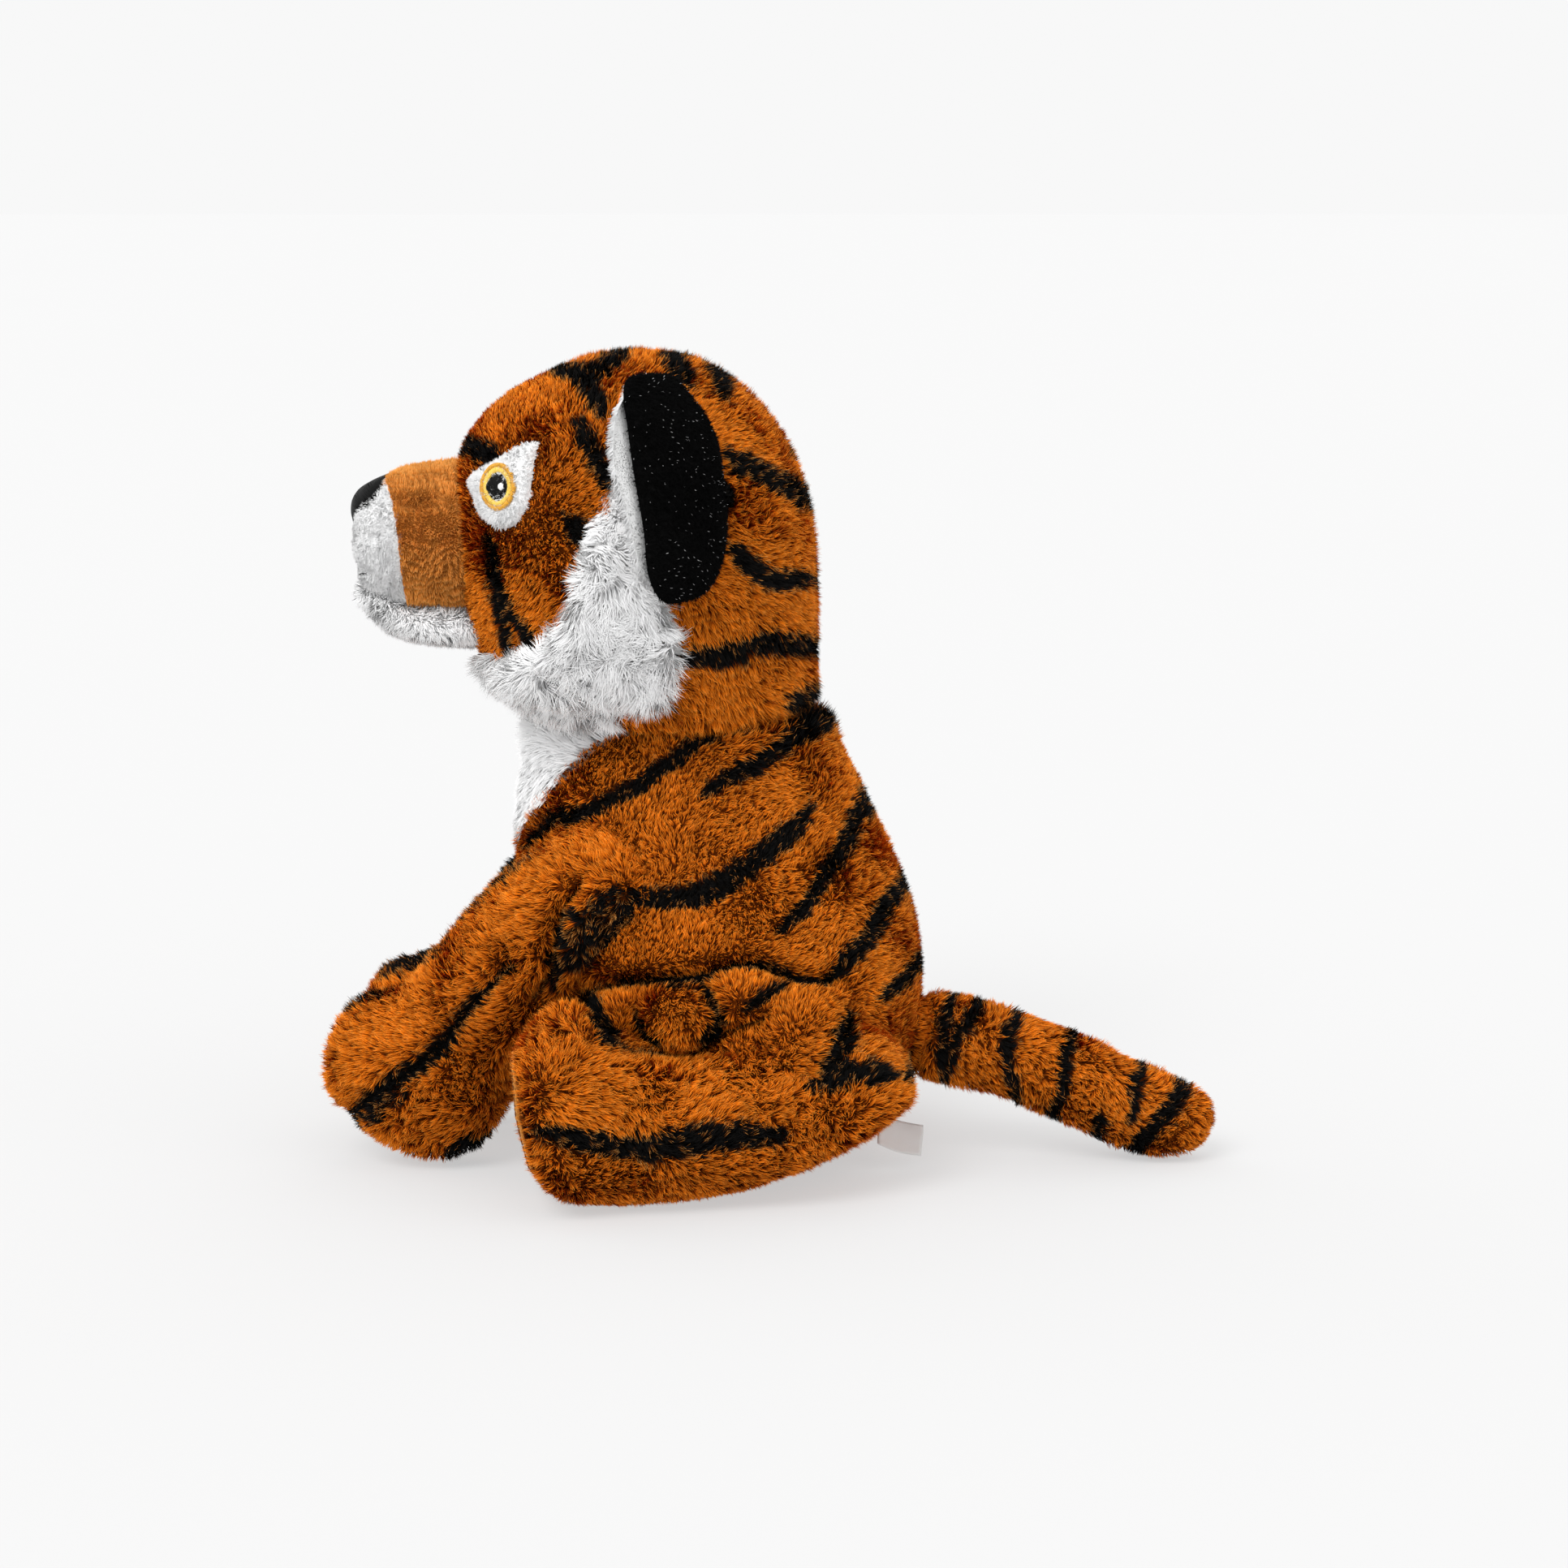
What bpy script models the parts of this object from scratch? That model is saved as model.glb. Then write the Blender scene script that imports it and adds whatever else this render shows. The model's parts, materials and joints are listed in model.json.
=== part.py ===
"""Seated plush tiger: stuffed fabric skins with a turning neck, sewn limbs, ears and a tail.

The toy faces -X, its left side is -Y and it sits on the floor plane at zero height. Each swelling form
is a loft between sections, smoothed by a subdivision surface. A skin is that form less its own cavity,
and the filling inside it is the cavity drawn in by a small gap.
"""

import math

import bmesh
import bpy
from mathutils import Matrix, Vector

# Overall sizes, in metres
neck_seam_height = 0.137
torso_depth = 0.125
torso_half_width = 0.064
head_height = 0.1145
head_depth = 0.109
head_half_width = 0.061

# Fabric, fits and cuts
skin_wall = 0.0045
end_wall = 0.0070
fit_gap = 0.0006
joint_gap = 0.0006
trim_gap = 0.0003
overrun = 0.020

# Torso: x of its middle, and rows of height, front, back and half width
torso_middle = -0.012
torso_height_shares = (-0.015, 0.06, 0.17, 0.31, 0.44, 0.57, 0.71, 0.86, 1.0, 1.09)
torso_front_shares = (-0.18, -0.27, -0.35, -0.41, -0.46, -0.505, -0.54, -0.53, -0.475, -0.42)
torso_back_shares = (0.34, 0.40, 0.445, 0.475, 0.48, 0.455, 0.395, 0.315, 0.235, 0.18)
torso_width_shares = (0.64, 0.82, 0.94, 1.0, 0.995, 0.92, 0.81, 0.70, 0.60, 0.53)

# Head: x of its middle, height of its lowest section, and rows as for the torso
head_middle = -0.0405
head_base = 0.1315
head_height_shares = (0.0, 0.09, 0.19, 0.33, 0.50, 0.66, 0.80, 0.92, 1.02)
head_front_shares = (-0.30, -0.35, -0.43, -0.485, -0.505, -0.515, -0.49, -0.36, -0.12)
head_back_shares = (0.485, 0.50, 0.505, 0.505, 0.50, 0.475, 0.41, 0.31, 0.14)
head_width_shares = (0.62, 0.70, 0.85, 0.96, 1.0, 0.96, 0.84, 0.64, 0.28)

# Neck: nested cups about one centre, and how far the head nods each way
neck_x = -0.026
neck_rise = 0.013
neck_cup_radius = 0.036
neck_ball_radius = 0.0285
nod_limit = math.radians(9)

# Front leg: places from the shoulder to the toes, with half widths and half heights.
# The x of limb places is the torso's middle and a share of its depth.
front_leg_x_shares = (-0.144, -0.264, -0.400, -0.528, -0.620, -0.696, -0.796, -0.884, -0.964)
front_leg_y = (0.024, 0.034, 0.0355, 0.0335, 0.0300, 0.0270, 0.0255, 0.0250, 0.0250)
front_leg_z = (0.095, 0.089, 0.078, 0.063, 0.046, 0.0310, 0.0295, 0.0350, 0.0390)
front_leg_side = (0.0150, 0.0210, 0.0200, 0.0170, 0.0160, 0.0170, 0.0175, 0.0160, 0.0100)
front_leg_rise = (0.0160, 0.0235, 0.0215, 0.0195, 0.0205, 0.0280, 0.0240, 0.0190, 0.0120)
front_leg_angles = (math.radians(-3), 0, math.radians(20), math.radians(40))

# Hind leg: places from the hip to the sole
hind_leg_x_shares = (0.400, 0.288, 0.128, -0.040, -0.176, -0.272, -0.356, -0.456)
hind_leg_y = (0.030, 0.043, 0.054, 0.061, 0.066, 0.070, 0.073, 0.0742)
hind_leg_z = (0.031, 0.0285, 0.0245, 0.0220, 0.0245, 0.0285, 0.0285, 0.0265)
hind_leg_side = (0.0180, 0.0235, 0.0220, 0.0200, 0.0200, 0.0215, 0.0220, 0.0210)
hind_leg_rise = (0.0200, 0.0270, 0.0250, 0.0225, 0.0240, 0.0300, 0.0303, 0.0250)
hind_leg_angles = (0, math.radians(11), math.radians(20))
sole_share = 0.84
sole_seat = 0.003
sole_thickness = 0.0016

# Tail: places from its root to its tip
tail_x_shares = (0.368, 0.480, 0.608, 0.736, 0.864, 0.984, 1.104, 1.204)
tail_z = (0.038, 0.0380, 0.0355, 0.0310, 0.0240, 0.0160, 0.0115, 0.0110)
tail_radius = (0.0110, 0.0140, 0.0130, 0.0130, 0.0135, 0.0138, 0.0126, 0.0080)
tail_angles = (math.radians(-28), 0, math.radians(28))

# Root balls of the fillings, centred on each limb's second place
front_leg_ball = 0.0148
hind_leg_ball = 0.0140
tail_ball = 0.0082
joint_station = 1

# Muzzle: places from the face to its tip, then the seam between its two cloths
muzzle_x = (-0.080, -0.096, -0.111, -0.121, -0.1265)
muzzle_z = (0.1910, 0.1910, 0.1905, 0.1905, 0.1905)
muzzle_side = (0.0270, 0.0262, 0.0250, 0.0220, 0.0145)
muzzle_rise = (0.0240, 0.0232, 0.0212, 0.0190, 0.0125)
muzzle_squareness = 2.6
muzzle_seam_x = -0.113

# Nose: a thin cover over the top front edge of the muzzle, placed from the muzzle's tip
nose_thickness = 0.0022
nose_half_width = 0.0125
nose_lift = 0.0030
nose_length = 0.0100
nose_taper_share = 0.35

# Chin: a roll under the muzzle
chin_x = (-0.078, -0.094, -0.110, -0.120, -0.1255)
chin_z = (0.1655, 0.1650, 0.1665, 0.1685, 0.1700)
chin_side = (0.0220, 0.0210, 0.0180, 0.0140, 0.0080)
chin_rise = (0.0080, 0.0080, 0.0075, 0.0065, 0.0040)

# Eyes: a white patch with an embroidered ring and pupil, all along one outward direction
eye_x = -0.081
eye_y = 0.044
eye_z = 0.209
eye_turn = math.radians(47)
patch_half_width = 0.0140
patch_half_height = 0.0135
iris_half_width = 0.0068
iris_half_height = 0.0070
pupil_half_width = 0.0042
pupil_half_height = 0.0044
patch_thickness = 0.0010
stitch_thickness = 0.0008

# Ears: oval discs hinged on a small root ball in the side of the head, placed by a share of its depth
ear_x_share = 0.28
ear_y = 0.0465
ear_z = 0.209
ear_tilt = math.radians(25)
ear_lean = math.radians(33)
ear_reach = 0.037
ear_half_height = 0.035
ear_shift = 0.008
ear_back_thickness = 0.0026
ear_lining_thickness = 0.0022
ear_root_radius = 0.0050
ear_angles = (math.radians(-8), 0, math.radians(8))

# Cheek ruff: a thick white fringe down each side of the head, in side view
ruff_depth = 0.0050
ruff_front_x = (-0.0440, -0.0450, -0.0500, -0.0560, -0.0800)
ruff_back_x = (-0.0360, -0.0310, -0.0270, -0.0240, -0.0280)
ruff_z = (0.2090, 0.1900, 0.1750, 0.1640, 0.1510)
ruff_inner_y = 0.012

# Chest bib: half widths down the front of the torso
bib_half_widths = (0.033, 0.027, 0.019, 0.009)
bib_z = (0.142, 0.119, 0.107, 0.100)
bib_back_x = -0.036

# Care label, a blank tab sewn into the lower rear seam on the left
label_length = 0.014
label_width = 0.012
label_thickness = 0.0005
label_x = 0.0360
label_y = -0.018
label_z = 0.0135
label_slope = math.radians(25)

# Colours of the cloths
orange_colour = (0.56, 0.16, 0.012, 1.0)
tan_colour = (0.43, 0.16, 0.032, 1.0)
white_colour = (0.82, 0.81, 0.78, 1.0)
black_colour = (0.008, 0.008, 0.008, 1.0)
gold_colour = (0.68, 0.33, 0.012, 1.0)
filling_colour = (0.74, 0.73, 0.69, 1.0)
pile_roughness = 0.95
stitch_roughness = 0.55

# Facets
around_large = 12
around_limb = 8
neck_segments = 20
joint_segments = 16
ear_root_segments = 12
oval_segments = 20

# The whole toy is moved by this, so that its box is centred on the origin
frame_shift = -0.00195

FLOOR = 0.0
LEFT = -1
RIGHT = 1
SIDES = (("left", LEFT), ("right", RIGHT))


def clear_scene():
    for obj in list(bpy.data.objects):
        bpy.data.objects.remove(obj)


def new_collection(name):
    group = bpy.data.collections.new(name)
    bpy.context.scene.collection.children.link(group)
    return group


def make_material(name, colour, roughness):
    material = bpy.data.materials.new(name)
    material.use_nodes = True
    shader = material.node_tree.nodes["Principled BSDF"]
    shader.inputs["Base Color"].default_value = colour
    shader.inputs["Roughness"].default_value = roughness
    shader.inputs["Metallic"].default_value = 0
    return material


def add_object(name, mesh, group, material=None):
    obj = bpy.data.objects.new(name, mesh)
    group.objects.link(obj)
    if material:
        mesh.materials.append(material)
        mesh.shade_smooth()
    if group == cutters:
        obj.hide_render = True
        obj.display_type = "WIRE"
    return obj


def cage_swell(around):
    """How much larger a ring is drawn so that its smoothed surface has the wanted size."""
    return 1 / (0.75 + 0.25 * math.cos(2 * math.pi / around))


def ring(centre, first, second, around, squareness=2.0):
    """Points round an oval with the half axes first and second. A squareness over 2 fills its corners."""
    points = []
    for step in range(around):
        angle = 2 * math.pi * (step + 0.5) / around
        across = math.cos(angle)
        up = math.sin(angle)
        fill = (abs(across) ** squareness + abs(up) ** squareness) ** (-1 / squareness)
        points.append(centre + first * (across * fill) + second * (up * fill))
    return points


def loft(name, rings, split=False):
    """A closed skin over rings of equal counts, capped at both ends.

    Split faces bend the same way in a cavity as in the filling inside it, so the gap between them holds.
    """
    bm = bmesh.new()
    loops = [[bm.verts.new(point) for point in points] for points in rings]
    count = len(loops[0])
    for near, far in zip(loops, loops[1:]):
        for step in range(count):
            following = (step + 1) % count
            if split:
                bm.faces.new((near[step], near[following], far[following]))
                bm.faces.new((near[step], far[following], far[step]))
            else:
                bm.faces.new((near[step], near[following], far[following], far[step]))
    bm.faces.new(loops[0])
    bm.faces.new(loops[-1])
    bmesh.ops.recalc_face_normals(bm, faces=bm.faces[:])
    mesh = bpy.data.meshes.new(name)
    bm.to_mesh(mesh)
    bm.free()
    return mesh


def soften(obj):
    smooth = obj.modifiers.new("soft", "SUBSURF")
    smooth.levels = 1
    smooth.render_levels = 1
    return obj


def boolean(obj, other, operation, solver="EXACT"):
    cut = obj.modifiers.new(operation.lower(), "BOOLEAN")
    cut.operation = operation
    cut.object = other
    cut.solver = solver


def stacked_form(name, group, rows, base, height, middle, depth, half_width, grow, soft, material=None):
    """A body of level sections, from shares of its height, depth and half width, grown by grow."""
    fill = cage_swell(around_large) if soft else 1
    rings = []
    for level, front, back, width in zip(*rows):
        centre = Vector((middle + depth * (front + back) / 2, 0, base + height * level))
        reach = Vector(((depth * (back - front) / 2 + grow) * fill, 0, 0))
        side = Vector((0, (half_width * width + grow) * fill, 0))
        rings.append(ring(centre, reach, side, around_large))
    for point in rings[0]:
        point.z -= grow
    for point in rings[-1]:
        point.z += grow
    obj = add_object(name, loft(name, rings, not soft), group, material)
    return soften(obj) if soft else obj


def torso_form(name, group, grow, soft=True, material=None):
    rows = (torso_height_shares, torso_front_shares, torso_back_shares, torso_width_shares)
    return stacked_form(
        name, group, rows, FLOOR, neck_seam_height, torso_middle, torso_depth, torso_half_width,
        grow, soft, material,
    )


def head_form(name, group, grow, soft=True, material=None):
    rows = (head_height_shares, head_front_shares, head_back_shares, head_width_shares)
    return stacked_form(
        name, group, rows, head_base, head_height, head_middle, head_depth, head_half_width,
        grow, soft, material,
    )


def path_form(
    name, group, places, sides, rises, grow, soft=True, material=None, squareness=2.0, guide=None
):
    """A limb: oval sections through places, square to its own path or to guide, grown by grow."""
    fill = cage_swell(around_limb) if soft else 1
    path = guide or places
    rings = []
    last = len(places) - 1
    for index, place in enumerate(places):
        along = (path[min(index + 2, last)] - path[max(index - 2, 0)]).normalized()
        across = (Vector((0, 1, 0)) - along * along.y).normalized()
        upward = along.cross(across)
        shift = along * (grow if index == last else -grow if index == 0 else 0)
        first = across * ((sides[index] + grow) * fill)
        second = upward * ((rises[index] + grow) * fill)
        rings.append(ring(place + shift, first, second, around_limb, squareness))
    obj = add_object(name, loft(name, rings, not soft), group, material)
    return soften(obj) if soft else obj


def ball(name, centre, radius, segments=joint_segments):
    bm = bmesh.new()
    bmesh.ops.create_uvsphere(bm, u_segments=segments, v_segments=segments // 2, radius=radius)
    bmesh.ops.translate(bm, verts=bm.verts[:], vec=centre)
    mesh = bpy.data.meshes.new(name)
    bm.to_mesh(mesh)
    bm.free()
    return add_object(name, mesh, cutters)


def block(name, low, high):
    bm = bmesh.new()
    bmesh.ops.create_cube(bm, size=1)
    size = Vector(high) - Vector(low)
    bmesh.ops.scale(bm, verts=bm.verts[:], vec=size)
    bmesh.ops.translate(bm, verts=bm.verts[:], vec=(Vector(low) + Vector(high)) / 2)
    mesh = bpy.data.meshes.new(name)
    bm.to_mesh(mesh)
    bm.free()
    return add_object(name, mesh, cutters)


def prism(name, outline, direction, group=None, material=None):
    """The solid swept by a flat outline of points along direction."""
    rings = [[point.copy() for point in outline], [point + direction for point in outline]]
    return add_object(name, loft(name, rings), group or cutters, material)


def oval_prism(name, centre, first, second, direction, group=None, material=None):
    outline = ring(centre, first, second, oval_segments)
    return prism(name, outline, direction, group, material)


def turned_copy(source, name, pivot, axis, angle):
    """A copy of a cutter, turned about an axis through pivot."""
    copy = bpy.data.objects.new(name, source.data)
    cutters.objects.link(copy)
    copy.hide_render = True
    copy.display_type = "WIRE"
    for smooth in source.modifiers:
        kept = copy.modifiers.new(smooth.name, smooth.type)
        kept.levels = smooth.levels
        kept.render_levels = smooth.render_levels
    turn = Matrix.Rotation(angle, 4, axis)
    copy.matrix_world = Matrix.Translation(pivot) @ turn @ Matrix.Translation(-pivot)
    return copy


def carve(objects, source, label, pivot, axis, angles):
    """Cuts the moving objects by what they must clear at each of the joint's angles.

    The turned copies cross at shallow angles, where the exact solver fails.
    """
    for number, angle in enumerate(angles):
        copy = turned_copy(source, f"{label}_clear_{number}", pivot, axis, -angle)
        for obj in objects:
            boolean(obj, copy, "DIFFERENCE", "MANIFOLD")


def below_floor():
    reach = Vector((1, 1, 0)) * (torso_depth + head_depth)
    return block("below_floor", -reach - Vector((0, 0, overrun)), reach + Vector((0, 0, FLOOR)))


def mirrored(places, side):
    return [Vector((x, y * side, z)) for x, y, z in places]


def drawn_in(places, sides, rises, inset):
    """The path with its closed end drawn in, so that a cavity leaves a wall there."""
    shorter = list(places)
    shorter[-1] = places[-1] + (places[-2] - places[-1]).normalized() * (end_wall + inset - skin_wall)
    return shorter, [s - inset for s in sides], [r - inset for r in rises]


def build_torso():
    skin = torso_form("torso_skin", parts, 0, material=orange)
    cavity = torso_form("torso_cavity", cutters, -skin_wall, soft=False)
    stuffing = torso_form("torso_stuffing", parts, -skin_wall - fit_gap, soft=False, material=filling)
    top = block(
        "above_torso",
        (-torso_depth, -torso_depth, neck_seam_height),
        (torso_depth, torso_depth, neck_seam_height + head_height),
    )
    boolean(skin, floor_cut, "DIFFERENCE")
    boolean(skin, cavity, "DIFFERENCE")
    boolean(skin, top, "DIFFERENCE")
    boolean(stuffing, top, "DIFFERENCE")
    inner_floor = block(
        "below_stuffing",
        (-torso_depth, -torso_depth, -overrun),
        (torso_depth, torso_depth, skin_wall + fit_gap),
    )
    inner_cavity_floor = block(
        "seat_wall",
        (-torso_depth, -torso_depth, FLOOR),
        (torso_depth, torso_depth, skin_wall),
    )
    boolean(cavity, inner_cavity_floor, "DIFFERENCE")
    boolean(cavity, floor_cut, "DIFFERENCE")
    boolean(stuffing, inner_floor, "DIFFERENCE")
    return skin, stuffing


def neck_centre():
    return Vector((neck_x, 0, neck_seam_height + neck_rise))


def build_neck(torso_skin, torso_stuffing):
    """The cupped pad between torso and head: it turns in the torso, and the head nods in it."""
    centre = neck_centre()
    seat = ball("neck_seat", centre, neck_cup_radius + joint_gap, neck_segments)
    boolean(torso_skin, seat, "DIFFERENCE")
    boolean(torso_stuffing, seat, "DIFFERENCE")
    pad = ball("neck_pad", centre, neck_cup_radius, neck_segments)
    cutters.objects.unlink(pad)
    parts.objects.link(pad)
    pad.hide_render = False
    pad.display_type = "TEXTURED"
    pad.data.materials.append(filling)
    pad.data.shade_smooth()
    inner = ball("neck_pad_cup", centre, neck_ball_radius + joint_gap, neck_segments)
    lid = block(
        "above_neck_pad",
        (-head_depth, -head_depth, neck_seam_height - trim_gap),
        (head_depth, head_depth, neck_seam_height + head_height),
    )
    boolean(pad, inner, "DIFFERENCE")
    boolean(pad, lid, "DIFFERENCE")
    return pad


def build_head():
    skin = head_form("head_skin", parts, 0, material=orange)
    cavity = head_form("head_cavity", cutters, -skin_wall, soft=False)
    stuffing = head_form("head_stuffing", parts, -skin_wall - fit_gap, soft=False, material=filling)
    boolean(skin, cavity, "DIFFERENCE")
    lowered_floor = block(
        "below_head",
        (-head_depth, -head_depth, FLOOR),
        (head_depth, head_depth, neck_seam_height + joint_gap),
    )
    carve([skin, stuffing], lowered_floor, "head", neck_centre(), "Y", (-nod_limit, 0, nod_limit))
    boolean(stuffing, ball("head_ball", neck_centre(), neck_ball_radius, neck_segments), "UNION")
    return skin, stuffing, lowered_floor


def places_of(x_shares, ys, zs, side):
    xs = [torso_middle + torso_depth * share for share in x_shares]
    return mirrored(zip(xs, ys, zs), side)


def build_limb(name, places, sides, rises, radius, torso_parts, angles, axis):
    """A stuffed limb: its skin stops at the torso, and its filling ends in a ball inside the torso."""
    pivot = places[joint_station]
    skin = path_form(f"{name}_skin", parts, places, sides, rises, 0, material=orange)
    inner = drawn_in(places, sides, rises, skin_wall)
    core = drawn_in(places, sides, rises, skin_wall + fit_gap)
    cavity = path_form(f"{name}_cavity", cutters, *inner, 0, soft=False, guide=places)
    stuffing = path_form(f"{name}_stuffing", parts, *core, 0, soft=False, material=filling, guide=places)
    boolean(skin, floor_cut, "DIFFERENCE")
    boolean(skin, cavity, "DIFFERENCE")
    carve([skin, stuffing], torso_clearance, name, pivot, axis, angles)
    boolean(stuffing, ball(f"{name}_ball", pivot, radius), "UNION", "MANIFOLD")
    socket = ball(f"{name}_socket", pivot, radius + joint_gap)
    for part in torso_parts:
        boolean(part, socket, "DIFFERENCE")
    return skin, stuffing


def build_sole(side_name, places, skin):
    """The flat sole sewn on the end of a hind leg. The skin is trimmed flat under it."""
    along = (places[-1] - places[-3]).normalized()
    end = places[-1] - along * sole_seat
    across = (Vector((0, 1, 0)) - along * along.y).normalized()
    upward = along.cross(across)
    first = across * (hind_leg_side[-1] * sole_share)
    second = upward * (hind_leg_rise[-1] * sole_share)
    face = end + along * trim_gap
    sole = oval_prism(f"{side_name}_foot_sole", face, first, second, along * sole_thickness, parts, tan)
    wider = 1 + overrun / hind_leg_rise[-1]
    trimmer = oval_prism(f"{side_name}_sole_trim", end, first * wider, second * wider, along * overrun)
    boolean(skin, trimmer, "DIFFERENCE")
    return sole


def build_muzzle():
    places = [Vector((x, 0, z)) for x, z in zip(muzzle_x, muzzle_z)]
    shape = dict(squareness=muzzle_squareness)
    reach = head_depth
    front = path_form("muzzle_front", parts, places, muzzle_side, muzzle_rise, 0, material=white, **shape)
    sides = path_form("muzzle_sides", parts, places, muzzle_side, muzzle_rise, 0, material=tan, **shape)
    ahead = block("ahead_of_seam", (-reach * 2, -reach, head_base), (muzzle_seam_x, reach, head_base + head_height))
    behind = block(
        "behind_seam",
        (muzzle_seam_x - trim_gap, -reach, head_base),
        (reach, reach, head_base + head_height),
    )
    boolean(front, behind, "DIFFERENCE")
    boolean(sides, ahead, "DIFFERENCE")
    boolean(sides, head_clearance, "DIFFERENCE")

    nose = path_form(
        "nose", parts, places, muzzle_side, muzzle_rise, nose_thickness + trim_gap, material=black, **shape
    )
    core = path_form("nose_core", cutters, places, muzzle_side, muzzle_rise, trim_gap, **shape)
    boolean(nose, core, "DIFFERENCE")
    nose_low = muzzle_z[-1] + nose_lift
    nose_back_x = muzzle_x[-1] + nose_length
    top = nose_low + muzzle_rise[0]
    narrow = nose_half_width * nose_taper_share
    outline = [
        Vector((nose_back_x, -nose_half_width, top)),
        Vector((nose_back_x, nose_half_width, top)),
        Vector((nose_back_x, nose_half_width, nose_low + nose_half_width)),
        Vector((nose_back_x, narrow, nose_low)),
        Vector((nose_back_x, -narrow, nose_low)),
        Vector((nose_back_x, -nose_half_width, nose_low + nose_half_width)),
    ]
    window = prism("nose_window", outline, Vector((-overrun, 0, 0)))
    boolean(nose, window, "INTERSECT")

    lower = [Vector((x, 0, z)) for x, z in zip(chin_x, chin_z)]
    chin = path_form("chin", parts, lower, chin_side, chin_rise, 0, material=white)
    above = path_form("chin_clearance", cutters, places, muzzle_side, muzzle_rise, fit_gap, **shape)
    boolean(chin, above, "DIFFERENCE")
    boolean(chin, head_clearance, "DIFFERENCE")
    return [front, sides, nose, chin]


def layer(name, grow_out, grow_in, window, material):
    """A thin piece lying on the head, between two swellings of it, inside a window."""
    piece = head_form(name, parts, grow_out, material=material)
    boolean(piece, head_form(f"{name}_under", cutters, grow_in), "DIFFERENCE")
    boolean(piece, window, "INTERSECT")
    return piece


def build_eye(side_name, side):
    outward = Vector((-math.sin(eye_turn), side * math.cos(eye_turn), 0))
    along = Vector((math.cos(eye_turn), side * math.sin(eye_turn), 0))
    upward = Vector((0, 0, 1))
    centre = Vector((eye_x, side * eye_y, eye_z)) - outward * overrun
    sweep = outward * overrun * 2
    top = trim_gap + patch_thickness
    base = top + trim_gap

    def window(name, half_width, half_height):
        return oval_prism(f"{side_name}_{name}_window", centre, along * half_width, upward * half_height, sweep)

    patch_window = window("patch", patch_half_width, patch_half_height)
    patch = layer(f"{side_name}_eye_patch", top, trim_gap, patch_window, white)
    iris_window = window("iris", iris_half_width, iris_half_height)
    iris = layer(f"{side_name}_iris", base + stitch_thickness, base, iris_window, gold)
    hole = window("iris_hole", pupil_half_width + trim_gap, pupil_half_height + trim_gap)
    boolean(iris, hole, "DIFFERENCE")
    pupil_window = window("pupil", pupil_half_width, pupil_half_height)
    pupil = layer(f"{side_name}_pupil", base + stitch_thickness, base, pupil_window, black)
    return [patch, iris, pupil]


def ear_root(side):
    return Vector((head_middle + head_depth * ear_x_share, side * ear_y, ear_z))


def build_ear(side_name, side, head_parts):
    root = ear_root(side)
    axis = Vector((0, -side * math.sin(ear_tilt), math.cos(ear_tilt)))
    normal = Vector((0, side * math.cos(ear_tilt), math.sin(ear_tilt)))
    outward = normal * math.cos(ear_lean) - Vector((math.sin(ear_lean), 0, 0))
    backward = outward.cross(axis).normalized()
    if backward.x < 0:
        backward.negate()
    centre = root + outward * ear_shift
    first = outward * ear_reach
    second = axis * ear_half_height
    back = oval_prism(
        f"{side_name}_ear_back", centre, first, second, backward * ear_back_thickness, parts, black
    )
    inset = 1 - ear_back_thickness / ear_reach
    lining = oval_prism(
        f"{side_name}_ear_lining", centre - backward * trim_gap, first * inset, second * inset,
        -backward * ear_lining_thickness, parts, white,
    )
    carve([back, lining], head_clearance, f"{side_name}_ear", root, axis, ear_angles)
    boolean(back, ball(f"{side_name}_ear_root", root, ear_root_radius, ear_root_segments), "UNION")
    room = ball(f"{side_name}_ear_root_room", root, ear_root_radius + trim_gap, ear_root_segments)
    boolean(lining, room, "DIFFERENCE")
    socket = ball(f"{side_name}_ear_socket", root, ear_root_radius + joint_gap, ear_root_segments)
    for part in head_parts:
        boolean(part, socket, "DIFFERENCE")
    return back, lining


def build_ruff(side_name, side):
    front = [Vector((x, side * ruff_inner_y, z)) for x, z in zip(ruff_front_x, ruff_z)]
    back = [Vector((x, side * ruff_inner_y, z)) for x, z in zip(ruff_back_x, ruff_z)]
    outline = front + back[::-1]
    window = prism(f"{side_name}_ruff_window", outline, Vector((0, side * head_half_width * 2, 0)))
    ruff = layer(f"{side_name}_cheek_ruff", trim_gap + ruff_depth, trim_gap, window, white)
    carve([ruff], head_limit, f"{side_name}_ruff", neck_centre(), "Y", (0, nod_limit))
    return ruff


def build_bib(torso_skin):
    left = [Vector((bib_back_x, -w, z)) for w, z in zip(bib_half_widths, bib_z)]
    right = [Vector((bib_back_x, w, z)) for w, z in zip(bib_half_widths, bib_z)]
    window = prism("bib_window", left + right[::-1], Vector((-torso_depth, 0, 0)))
    wider = [point + Vector((0, -fit_gap, 0)) for point in left[:-1]]
    wider += [left[-1] + Vector((0, -fit_gap, -fit_gap)), right[-1] + Vector((0, fit_gap, -fit_gap))]
    wider += [point + Vector((0, fit_gap, 0)) for point in right[-2::-1]]
    opening = prism("bib_opening", wider, Vector((-torso_depth, 0, 0)))
    bib = torso_form("chest_bib", parts, 0, material=white)
    for cut in torso_skin.modifiers:
        if cut.type == "BOOLEAN":
            boolean(bib, cut.object, "DIFFERENCE")
    boolean(bib, window, "INTERSECT")
    boolean(torso_skin, opening, "DIFFERENCE")
    return bib


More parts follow.
